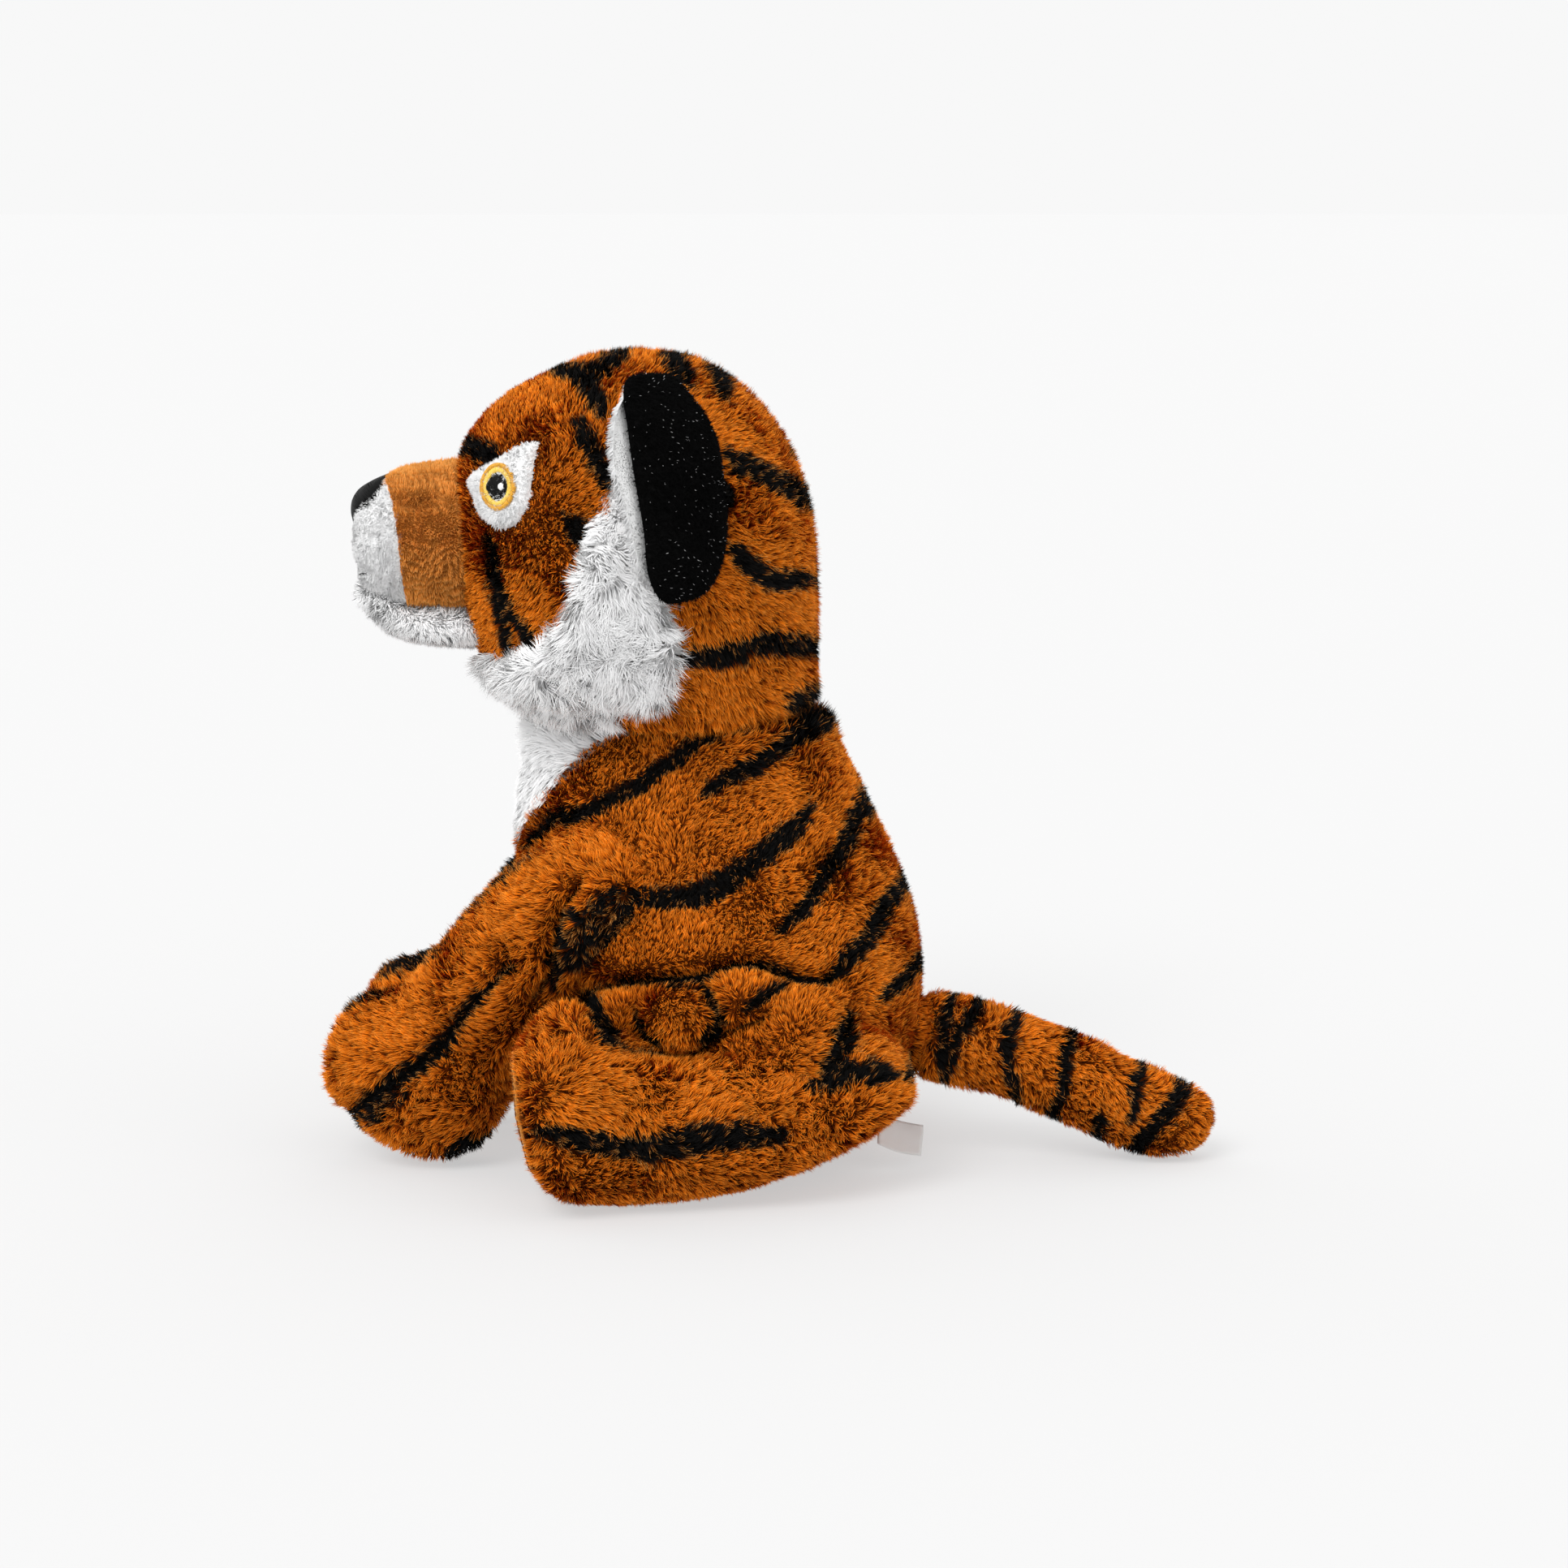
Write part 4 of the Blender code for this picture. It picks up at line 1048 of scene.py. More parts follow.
def make_floor(lit):
    """A plain pale floor that, lit, looks like the world behind it."""
    bm = bmesh.new()
    bmesh.ops.create_circle(bm, cap_ends=True, segments=FLOOR_CORNERS, radius=FLOOR_RADIUS)
    mesh = bpy.data.meshes.new("floor")
    bm.to_mesh(mesh)
    bm.free()
    tone = FLOOR_TONE * WORLD_COLOUR[0] * (1 - FLOOR_GLOW_SHARE) / lit
    paint = Paint("floor_paint", Roughness=0.9, Specular_IOR_Level=0.0, Emission_Color=(1.0, 1.0, 1.0, 1.0),
                  Emission_Strength=WORLD_COLOUR[0] * FLOOR_GLOW_SHARE)
    speckle = paint.add("TexNoise", {"Scale": FLOOR_GRAIN})
    colour = paint.ramp(speckle, (0.3, (tone * (1 - FLOOR_SPECKLE),) * 3), (0.7, (tone * (1 + FLOOR_SPECKLE),) * 3))
    paint.fill(paint.shader, {"Base Color": colour})
    mesh.materials.append(paint.material)
    floor = bpy.data.objects.new("floor", mesh)
    bpy.context.scene.collection.objects.link(floor)


make_camera()
make_floor(make_lights())

orange_hair = make_hair("orange_pile", "orange_pile", (ORANGE_HAIR, MIXED_HAIR, BLACK_HAIR))
white_hair = make_hair("white_pile", "white_pile", (WHITE_HAIR,), shade_reach=0.06)
felt_hair = make_hair("white_felt", "white_pile", (FELT_HAIR,), shade_reach=0.12)
tan_hair = make_hair("tan_pile", "tan_pile", (TAN_HAIR,))
black_hair = make_hair("black_pile", "black_pile", (VELVET_HAIR, FLECK_HAIR), specular=0.03)
orange_cloth = make_cloth("orange_cloth", ORANGE_CLOTH)
tan_cloth = make_cloth("tan_cloth", TAN_CLOTH, deep=0.6)
muzzle_cloth = make_cloth("muzzle_cloth", TAN_CLOTH, white=MUZZLE_CLOTH, deep=0.6)
white_cloth = make_cloth("white_cloth", WHITE_CLOTH, deep=0.86)
black_cloth = make_cloth("black_cloth", BLACK_CLOTH)
gold_thread = make_thread("gold_thread", "gold_thread", (0.80, 0.42, 0.018), (0.48, 0.20, 0.006))
yellow_thread = make_thread("yellow_thread", "gold_thread", (0.90, 0.66, 0.12), (0.72, 0.42, 0.03))
black_thread = make_thread("black_thread", "black_thread", (0.004,) * 3, (0.002,) * 3, 0.5, 0.09)
white_thread = make_thread("white_thread", "black_thread", (0.90,) * 3, (0.70,) * 3)
brown_thread = make_thread("brown_thread", "tan_pile", (0.22, 0.075, 0.014), (0.12, 0.036, 0.006), 0.6, 0.1)


joints = {joint["name"]: joint for joint in frame["joints"]}


def pivot_of(joint):
    return Vector(joints[joint]["pos_m"])


def both(name):
    """The left and the right one of a pair."""
    return f"left_{name}", f"right_{name}"


def balls_at(radius, *names):
    return tuple((pivot_of(name), radius) for name in names)


torso = skin_from(
    ("torso_skin", "torso_stuffing", "chest_bib"), COVER_VOXEL, COVER_SINK,
    balls=(*balls_at(NECK_FILL, "neck_turn"), *balls_at(SOCKET_FILL, *both("shoulder"), *both("hip")),
           *balls_at(TAIL_FILL, "tail_swing")),
)
head = skin_from(("head_skin", "head_stuffing"), COVER_VOXEL, COVER_SINK, balls=balls_at(EAR_FILL, *both("ear_fold")))
tail = skin_from(("tail_skin", "tail_stuffing"), LIMB_VOXEL, COVER_SINK, balls=balls_at(TAIL_ROOT, "tail_swing"))
legs = {}
for side_name, side in SIDES:
    for leg in LEGS:
        name = f"{side_name}_{leg.kind}"
        legs[name] = skin_from((f"{name}_skin", f"{name}_stuffing"), LIMB_VOXEL, COVER_SINK,
                               balls=balls_at(leg.ball, f"{side_name}_{leg.joint}"))
for name in both("hind_leg"):
    pull_inside(legs[name], SEAT_PROFILE, -1, rounds=3)
    raise_foot(legs[name])
pull_inside(torso, SEAT_PROFILE, -1, rounds=3)
pull_inside(head, HEAD_PROFILE, -1, rounds=3)
for name in both("front_leg"):
    lower_paw(legs[name])
for seed, skin in enumerate((torso, head, tail, *legs.values())):
    if skin is not head:
        sculpt(skin, 300 + seed)
centre_seam(torso, TORSO_SEAM_DEPTH)
centre_seam(head, HEAD_SEAM_DEPTH)
head_tree = head.tree()
torso_solid = (torso, torso.tree())
bury(torso, [(head, head_tree), *((skin, skin.tree()) for skin in (tail, *legs.values()))])
for skin in (head, tail, *legs.values()):
    bury(skin, [torso_solid])


def combed(vector, roots, seed, stray=0.55, wavelength=0.03):
    return np.asarray(vector, float) + ripples(roots, wavelength, seed) * stray


def soft_step(values, reach):
    return np.clip(values / reach + 0.5, 0, 1)


def even_tone(roots, shade):
    """The first family at one shade."""
    return np.stack((np.zeros(len(roots)), np.full(len(roots), shade)), 1)


def stripes_of(roots, stripes, rng=None):
    """How deep in the stripes the roots are. The unseen right side has its own small differences."""
    far = share_of(roots[:, 1], -0.004, 0.02)
    drift = ripples(roots, 0.05, 900)[:, :2] * (far * 9)[:, None]
    depth = stripe_depth(to_photo(roots) + drift, stripes) + ripple(roots, 0.004, 910) * 2.2
    return depth if rng is None else depth + rng.normal(size=len(roots)) * 1.6


def folded(roots):
    """How deep in the photo's creases the roots are, from 0 to 1, on the toy's sides."""
    seen = to_photo(roots)
    deepest = np.zeros(len(roots))
    for depth, width, *points in CREASES:
        share = min(depth / 0.003, 1)
        deepest = np.maximum(deepest, share * np.exp(-(line_distance(seen, points) / width) ** 2))
    return deepest * np.clip(np.abs(roots[:, 1]) / 0.02 - 0.5, 0, 1)


def stripe_tone(roots, stripes, rng):
    """Family and shade: bright hair, then dark hair with bright tips at a stripe's edge, then black. Hairs in creases
    are painted darker as painted shade, and dark patches that are partly painted shade are added.
    """
    depth = stripes_of(roots, stripes, rng)
    blotch_and_shade = stripe_depth(to_photo(roots) + ripples(roots, 0.006, 930)[:, :2] * 5, BLOTCHES_AND_SHADE)
    speckled = np.where(ripple(roots, 0.004, 940) + rng.normal(size=len(roots)) * 0.3 > -0.35, 2, 1)
    speckled = np.where(ripple(roots, 0.003, 941) < -1.35, 0, speckled)
    faded = ripple(roots, 0.0035, 950) + rng.normal(size=len(roots)) * 0.3 > 1.05
    family = np.where(depth > 0.8, np.where(faded, 1, 2), np.where(depth > -1.6, 1, 0))
    family = np.maximum(family, np.where(blotch_and_shade > 0, speckled, 0))
    # Painted shade in the folds: hairs in creases are painted darker, and in the deepest ones dark with bright tips.
    crease_shade = folded(roots)
    family = np.maximum(family, np.where(crease_shade + rng.normal(size=len(roots)) * 0.1 > 0.86, 1, 0))
    return np.stack((family, 0.5 - 0.42 * crease_shade), 1)


def bib_depth(points):
    """How deep in the chest bib a point is, in metres."""
    heights, halves = zip(*BIB_ROWS)
    half = np.interp(points[:, 2], heights, halves)
    inside = np.minimum(half - np.abs(points[:, 1]), points[:, 2] - BIB_ROWS[0][0])
    return np.minimum(inside, (BIB_BACK_X - points[:, 0]) * 0.5)


def ragged_bib_depth(roots):
    return bib_depth(roots) + ripple(roots, 0.006, 77) * 0.0006


def rarer_below(roots, normals):
    """The share of hairs kept: fewer on the flattened underside, which rests on the floor."""
    return np.where((normals[:, 2] < UNDERSIDE_FACING) & (roots[:, 2] < UNDERSIDE_Z), UNDERSIDE_SHARE, 1.0)


def fold_length(roots):
    """Hair length shares: short in creases and near the floor."""
    return (1 - 0.60 * folded(roots)) * np.clip(0.55 + roots[:, 2] / 0.05, 0.55, 1)


def torso_look(roots, normals, rng):
    """Combed up and back, and longer at the top of the back, where it meets the head's pile."""
    kept = (ragged_bib_depth(roots) < 0.0004) * rarer_below(roots, normals)
    edge = share_of(roots[:, 2], SHOULDER_EDGE_Z, SHOULDER_EDGE_REACH)
    edge *= share_of(roots[:, 0], NAPE_FRONT_X, NAPE_FADE)
    lengths = fold_length(roots) * (1 + NAPE_GROWTH * edge)
    return kept, stripe_tone(roots, TORSO_STRIPES, rng), lengths, combed((0.3, 0, 0.55), roots, 11)


def bib_look(roots, normals, rng):
    """Combed down, but longer and combed up under the chin."""
    top = share_of(roots[:, 2], BIB_TURN_Z, BIB_TURN_REACH)
    flow = np.stack((-0.4 * top, np.zeros(len(roots)), -0.9 + 1.5 * top), 1)
    return ragged_bib_depth(roots) > 0, even_tone(roots, 0.6), 1 + 1.4 * top, combed(flow, roots, 12, 0.35)


def head_white(roots):
    """How deep in the head's white pile the roots are, in the photo's pixels."""
    places = to_photo(roots) + ripples(roots, 0.006, 31)[:, :2] * 4
    under = (JAW_Z - roots[:, 2]) * JAW_SLOPES[0] - np.maximum(roots[:, 0] - JAW_BACK_X, 0) * JAW_SLOPES[1]
    return np.maximum.reduce((outline_depth(places, RUFF_OUTLINE), outline_depth(places, JAW_OUTLINE), under))


def at_ears(places):
    """Whether places are at the black roots of the ears."""
    spans = [np.linalg.norm(places - np.array(pivot_of(name)), axis=1) for name in both("ear_fold")]
    return np.minimum(*spans) < EAR_ROOT_REACH


def nape_share(roots):
    """How near the head's lower rear edge the roots are, from 0 to 1. Its pile hangs over the neck's seam."""
    return share_of(roots[:, 2], NAPE_TOP_Z, -NAPE_REACH) * share_of(roots[:, 0], NAPE_FRONT_X, NAPE_FADE)


def head_comb(roots):
    """Up and back over the crown, down at the back, and forwards on the cheeks."""
    down = share_of(roots[:, 2], 0.205, -0.03)
    cheek = down * share_of(roots[:, 0], -0.040, -0.02)
    flow = np.stack((0.75 - 0.25 * down - 0.95 * cheek, np.zeros(len(roots)), 0.35 - 1.05 * down), 1)
    return flow + ripples(roots, 0.03, 21) * 0.45


def head_look(roots, normals, rng):
    """Short round the eyes and on the face, long at the nape, and black at the ears' roots."""
    patch = outline_depth(to_photo(roots), EYE_PATCH_OUTLINE)
    short = np.clip(0.40 - patch / 30, 0.40, 1) * (1 - 0.32 * share_of(roots[:, 0], -0.050, -0.02))
    short *= 1 + NAPE_GROWTH * nape_share(roots)
    tone = stripe_tone(roots, HEAD_STRIPES, rng)
    parted = np.abs(roots[:, 1]) < BROW_GAP + ripple(roots, 0.006, 78) * 0.0012
    tone[parted & (roots[:, 0] < BROW_BACK_X), 0] = 0
    at_ear = at_ears(roots)
    tone[at_ear, 0] = 2
    short[at_ear] = 0.40
    return (head_white(roots) < 0) & (patch < 0), tone, short, head_comb(roots)


def ruff_look(roots, normals, rng):
    """Hangs down and outwards, shorter at its hem and at its upper end."""
    seen = to_photo(roots)
    kept = (head_white(roots) > -2) & (outline_depth(seen, EYE_PATCH_OUTLINE) < 0)
    low = share_of(roots[:, 2], 0.200, -0.02)
    hem = RUFF_HEM + share_of(seen[:, 0], 620, 60) * RUFF_HEM_DROP
    room = np.clip((hem - seen[:, 1]) / 40, 0.45, 1) * np.clip((seen[:, 1] - 585) / 70, 0.3, 1)
    flow = np.stack((np.full(len(roots), 0.05), np.sign(roots[:, 1]) * 0.3, np.full(len(roots), -0.7)), 1)
    return kept, even_tone(roots, 0.6), (0.55 + 0.45 * low) * room, flow + ripples(roots, 0.012, 33) * 0.75


def limb_look(stripes, flow, seed, under=None):
    """A limb's pile is combed one way, but forwards on the feet, and leaves the sole's outline free."""
    def look(roots, normals, rng):
        kept = rarer_below(roots, normals)
        if under:
            kept = kept * (outline_depth(np.abs(roots[:, 1:]), under) < 0) + kept * (roots[:, 0] > FOOT_END_X)
        ahead = share_of(roots[:, 0], FOOT_BACK_X, -0.02)[:, None]
        flow_here = np.asarray(flow) * (1 - ahead) + np.array((-0.5, 0.0, 0.15)) * ahead
        return kept, stripe_tone(roots, stripes, rng), fold_length(roots), combed(flow_here, roots, seed)
    return look


def plain_look(flow, seed, stray=0.4, wavelength=0.02, tone=0.5, ridges=0.0):
    """An even pile of one family, combed one way with small swirls and pressed into fine slanted ridges, painted
    lighter on their tops and darker between them as painted light and shade.
    """
    slant = unit(np.array((0.75, 0.0, -0.65)))
    def look(roots, normals, rng):
        swirled = roots + ripples(roots, 0.014, seed) * 0.0022
        squeezed = swirled - (swirled @ slant)[:, None] * slant * 0.62
        ridge = np.tanh(ripple(squeezed, 0.0012, seed + 1) * 1.6)
        # Painted light and shade: hairs on a ridge are lighter, those between ridges darker.
        tones = np.stack((np.zeros(len(roots)), tone + ridge * ridges), 1)
        lengths = 1 + np.clip(ridge, -1, 1) * ridges * 1.2
        return np.ones(len(roots)), tones, lengths, combed(flow, roots, seed, stray, wavelength)
    return look


def only_where(test, look):
    """A look kept to the roots that pass a test."""
    def here(roots, normals, rng):
        kept, *others = look(roots, normals, rng)
        return (kept * test(roots), *others)
    return here


def orange_cover(name, skin, holder, stripes, fill, *replaced, white=0):
    """The cloth of a striped part, also dark at the ears' roots."""
    dark = np.maximum(soft_step(stripes_of(skin.places, stripes), 3), at_ears(skin.places))
    show_skin(f"{name}_cover", skin, orange_cloth, holder, "orange_pile", *replaced,
              stripe=dark, white=white, fill=fill)


orange_cover("torso", torso, "torso", TORSO_STRIPES, 0.8, "torso_skin", "torso_stuffing", "chest_bib",
             white=soft_step(bib_depth(torso.places), 0.001))
orange_cover("head", head, "head", HEAD_STRIPES, 0.9, "head_skin", "head_stuffing",
             white=soft_step(head_white(head.places), 3))
grow("torso_pile", torso, "torso", orange_hair, 101, torso_look, TORSO_PILE)
grow("bib_pile", torso, "torso", white_hair, 102, bib_look, BIB_PILE)
grow("head_pile", head, "head", orange_hair, 103, head_look, HEAD_PILE)
grow("ruff_pile", head, "head", white_hair, 104, ruff_look, RUFF_PILE)

tail_holder = ("torso", "tail", *TAIL_BEND)
orange_cover("tail", tail, tail_holder, TAIL_STRIPES, 0.7, "tail_skin", "tail_stuffing")
grow("tail_pile", tail, tail_holder, orange_hair, 105, limb_look(TAIL_STRIPES, (0.8, 0, -0.2), 51), TAIL_PILE)

for side_name, side in SIDES:
    for leg in LEGS:
        name = f"{side_name}_{leg.kind}"
        pivot = np.array(joints[f"{side_name}_{leg.joint}"]["pos_m"])
        holder = ("torso", name, tuple(pivot.tolist()), tuple((pivot + leg.bend * np.array((1, side, 1))).tolist()))
        orange_cover(name, legs[name], holder, leg.stripes, 0.8, f"{name}_skin", f"{name}_stuffing")
        grow(f"{name}_pile", legs[name], holder, orange_hair, leg.seed + side,
             limb_look(leg.stripes, leg.comb, leg.seed, leg.sole), LEG_PILE)

neck = skin_from(("neck_pad",), NECK_VOXEL, 0.0)
show_skin("neck_filling", neck, white_cloth, "neck", "fibre_filling", "neck_pad", fill=0.8)
throat_look = only_where(lambda roots: roots[:, 0] < NAPE_FRONT_X, plain_look((-0.3, 0, -0.3), 261))
grow("neck_pile", neck, "neck", white_hair, 260, throat_look, NECK_PILE)


def tan_depth(places):
    """How far behind the muzzle's seam places are, in the photo's pixels."""
    seen = to_photo(places)
    across, down = zip(*MUZZLE_SEAM)
    return seen[:, 0] - np.interp(seen[:, 1], down, across) + ripple(places, 0.004, 207) * 0.6


def muzzle_white(places):
    """How white the muzzle's cloth is, from 0 behind its seam to 1 in front of it."""
    return soft_step(-tan_depth(places), 2)


def trim(name, node, body, cloth, fibre, seed, look, pile, shape, voxel=TRIM_VOXEL, rounds=7, white=None):
    """A sewn-on panel in the shape of its CAD node, rounded at its seams, with a short pile."""
    skin = skin_from((node,), voxel, -TRIM_SWELL, rounds)
    shape(skin)
    show_skin(name, skin, cloth, body, fibre.slot, node, white=white(skin.places) if white else 0, fill=TRIM_FILL)
    grow(f"{name}_pile", skin, body, fibre, seed, look, pile)
    return skin


def stretch(skin, start, reach, distance):
    """Moves the end of a panel along the toy, so that it runs under or over the next one."""
    skin.move(share_of(skin.places[:, 0], start, reach), (distance, 0, 0))


def shape_muzzle(skin):
    stretch(skin, *MUZZLE_SIDES_END, -PANEL_OVERLAP)
    pull_inside(skin, MUZZLE_PROFILE, 1)


def shape_muzzle_front(skin):
    """The white front, with the groove under the nose and the mouth's crease drawn in."""
    stretch(skin, *MUZZLE_FRONT_END, PANEL_OVERLAP)
    pull_inside(skin, MUZZLE_PROFILE, 1, rounds=4)
    seen = to_photo(skin.places)
    groove = np.exp(-(skin.places[:, 1] / GROOVE_WIDTH) ** 2) * (seen[:, 1] > GROOVE_TOP)
    mouth = np.exp(-(line_distance(seen, MOUTH_LINE) / MOUTH_CREASE_WIDTH) ** 2)
    skin.push(-GROOVE_DEPTH * np.maximum(groove, mouth))


def shape_chin(skin):
    """The roll under the mouth, lifted at its front end."""
    skin.move(share_of(to_photo(skin.places)[:, 0], CHIN_LIFT_START, -LIFT_REACH), (0, 0, CHIN_LIFT))
    pull_inside(skin, CHIN_PROFILE, -1, rounds=4)


def shape_side_ruff(skin):
    """The cheek's ruff, whose upper end sinks into the head's pile."""
    share = share_of(to_photo(skin.places)[:, 1], RUFF_END, -LIFT_REACH)
    skin.move(np.sign(skin.places[:, 1]) * share, (0, -RUFF_SINK, 0))


def side_ruff_look(roots, normals, rng):
    return (np.ones(len(roots)), *ruff_look(roots, normals, rng)[1:])


def shape_sole(skin):
    """The flat end of a foot, a little in front of the leg's pulled-in skin."""
    pull_inside(skin, tuple((x - SOLE_DEPTH, y) for x, y in SEAT_PROFILE), -1)


tan_look = only_where(lambda roots: tan_depth(roots) > 0, plain_look((0.5, 0, -0.5), 202, 0.4, 0.012, ridges=0.30))
felt_look = only_where(lambda roots: tan_depth(roots) < 0, plain_look((0.2, 0, -0.6), 204, 0.6, 0.015))
muzzle_sides = trim("muzzle_panel", "muzzle_sides", "head", muzzle_cloth, tan_hair, 201, tan_look, TAN_PILE,
                    shape_muzzle, white=muzzle_white)
grow("muzzle_panel_white", muzzle_sides, "head", felt_hair, 208, felt_look, FELT_SIDE_PILE)
muzzle = trim("muzzle_front_panel", "muzzle_front", "head", muzzle_cloth, felt_hair, 203, felt_look, FELT_FRONT_PILE,
              shape_muzzle_front, voxel=MUZZLE_VOXEL, white=muzzle_white)
grow("muzzle_front_tan", muzzle, "head", tan_hair, 209, tan_look, TAN_PILE)
trim("chin_roll", "chin", "head", white_cloth, white_hair, 205, plain_look((0.3, 0, -0.7), 206, 0.5, 0.010),
     CHIN_PILE, shape_chin)
soles = {}
for side_name, side in SIDES:
    soles[side_name] = trim(
        f"{side_name}_sole", f"{side_name}_foot_sole", f"{side_name}_hind_leg", tan_cloth, tan_hair, 210 + side,
        plain_look((0, 0, -0.5), 212), SOLE_PILE, shape_sole, voxel=SOLE_VOXEL, rounds=3)
    trim(f"{side_name}_ruff", f"{side_name}_cheek_ruff", "head", white_cloth, white_hair, 220 + side,
         side_ruff_look, SIDE_RUFF_PILE, shape_side_ruff, voxel=RUFF_VOXEL, rounds=4)


def spline_round(points, count):
    """Count places on a smooth closed curve through the points."""
    points = np.array(points, float)
    steps = np.arange(count) * len(points) / count
    base = np.floor(steps).astype(int)
    t = (steps - base)[:, None]
    before, at, after, later = (points[(base + k) % len(points)] for k in (-1, 0, 1, 2))
    return 0.5 * (2 * at + (after - before) * t + (2 * before - 5 * at + 4 * after - later) * t ** 2
                  + (3 * at - before - 3 * after + later) * t ** 3)


def tube_faces(around, rings):
    """Triangles between rings of equal counts."""
    faces = []
    for ring in range(rings - 1):
        for k in range(around):
            a, b = ring * around + k, ring * around + (k + 1) % around
            faces += [(a, b, b + around), (a, b + around, a + around)]
    return faces


def dish_faces(around, rings):
    """Triangles between rings, each inside the one before, closed by a last point."""
    last = (rings - 1) * around
    return np.array(tube_faces(around, rings) + [
        (last + k, last + (k + 1) % around, rings * around) for k in range(around)])


def slab_faces(rows, across):
    """Four-sided faces of a thin slab: its upper grid of places, its lower grid behind it, and the rim."""
    half = rows * across
    faces = []
    for row in range(rows - 1):
        for k in range(across - 1):
            a = row * across + k
            b, c, d = a + 1, a + across + 1, a + across
            faces += [(a, b, c, d), (c + half, b + half, a + half, d + half)]
    rim = [*range(across), *(row * across + across - 1 for row in range(1, rows))]
    rim += [*(half - 1 - k for k in range(1, across)), *(row * across for row in range(rows - 2, 0, -1))]
    return np.array(faces + [(b, a, a + half, b + half) for a, b in zip(rim, rim[1:] + rim[:1])])


def faced(places, faces, way, probe=0):
    """The faces, turned round if the one to probe looks against a way."""
    a, b, c = (places[faces[probe][k]] for k in range(3))
    return faces[:, ::-1] if np.cross(b - a, c - a) @ way < 0 else faces


def mirror(places, triangles, side):
    """Left-hand shapes are kept for side -1 and mirrored for side 1."""
    if side < 0:
        return places, triangles
    return places * np.array((1, -1, 1)), triangles[:, ::-1]


def ear_plane():
    """The left ear's centre and its normal, which points to the back, from the CAD."""
    places = np.array([v.co for v in frame["nodes"]["left_ear_back"].data.vertices])
    centre = places.mean(0)
    normal = np.linalg.svd(places - centre, full_matrices=False)[2][2]
    return centre, normal * np.sign(normal[0])


def ear_sheet(outline, swell, side):
    """One cloth of an ear: its outline, seen in the photo, on the ear's plane, cupped and swollen."""
    centre, normal = ear_plane()
    rays = [sight(pixel) for pixel in spline_round(outline, EAR_AROUND)]
    rim = np.array([camera_place + ray * (((centre - camera_place) @ normal) / (ray @ normal)) for ray in rays])
    middle = rim.mean(0)
    rows = []
    for ring in range(EAR_RINGS):
        share = 1 - (ring / EAR_RINGS) ** 1.5
        rise = swell * math.sqrt(max(1 - share ** 3, 0)) + EAR_CUP * (EAR_CUP_MIDDLE - share ** 2)
        rows.append(middle + (rim - middle) * share + normal * rise)
    places = np.concatenate((*rows, (middle + normal * (swell + EAR_CUP * EAR_CUP_MIDDLE))[None]))
    triangles = faced(places, dish_faces(EAR_AROUND, EAR_RINGS), normal * swell)
    places, triangles = mirror(places, triangles, side)
    return Skin(places - (0, 0, FAR_EAR_DROP if side > 0 else 0), triangles)


def flecked_look(roots, normals, rng):
    """A short black pile with a few pale hairs."""
    fleck = rng.random(len(roots)) < FLECK_SHARE
    tones = np.stack((fleck, np.full(len(roots), 0.5)), 1)
    return np.ones(len(roots)), tones, np.ones(len(roots)), combed((0.3, 0, -0.7), roots, 231)


for side_name, side in SIDES:
    for colour, node, outline, swell, cloth, fibre, seed, look, pile in (
        ("black", "back", EAR_OUTLINE, EAR_BACK_SWELL, black_cloth, black_hair, 230, flecked_look, EAR_BACK_PILE),
        ("white", "lining", LINING_OUTLINE, -EAR_LINING_SWELL, white_cloth, white_hair, 240,
         plain_look((-0.1, 0.3 * side, -0.7), 241), LINING_PILE),
    ):
        name, body = f"{side_name}_ear_{colour}", f"{side_name}_ear"
        skin = ear_sheet(outline, swell, side)
        show_skin(name, skin, cloth, body, fibre.slot, f"{body}_{node}", fill=EAR_PADDING)
        grow(f"{name}_pile", skin, body, fibre, seed + side, look, pile)


def seen_on(tree, pixels, lift):
    """Places on the left of a surface that the photo shows at these pixels, or nearest to them, lifted off it."""
    found = []
    for pixel, height in zip(pixels, np.broadcast_to(lift, len(pixels))):
        place, normal, _, _ = tree.ray_cast(camera_place, sight(pixel))
        if place is None:
            place, normal, _, _ = tree.find_nearest(camera_place + sight(pixel) * EDGE_DISTANCE)
        found.append(np.array(place) + np.array(normal) * height)
    return np.array(found)


def eye_patch(side):
    """The white of an eye, laid on the head inside its outline in the photo."""
    rim = spline_round(EYE_PATCH_OUTLINE, PATCH_AROUND)
    middle = np.array(EYE_CENTRE)
    rows = []
    for ring in range(PATCH_RINGS):
        share = 1 - ring / PATCH_RINGS
        lift = PATCH_LIFT * (1 - share ** 6) + PATCH_RIM_LIFT
        rows.append(seen_on(head_tree, middle + (rim - middle) * share, lift))
    places = np.concatenate((*rows, seen_on(head_tree, middle[None], PATCH_LIFT)))
    triangles = faced(places, dish_faces(PATCH_AROUND, PATCH_RINGS), camera_back, -1)
    skin = Skin(*mirror(places, triangles, side))
    skin.smooth(3)
    return skin


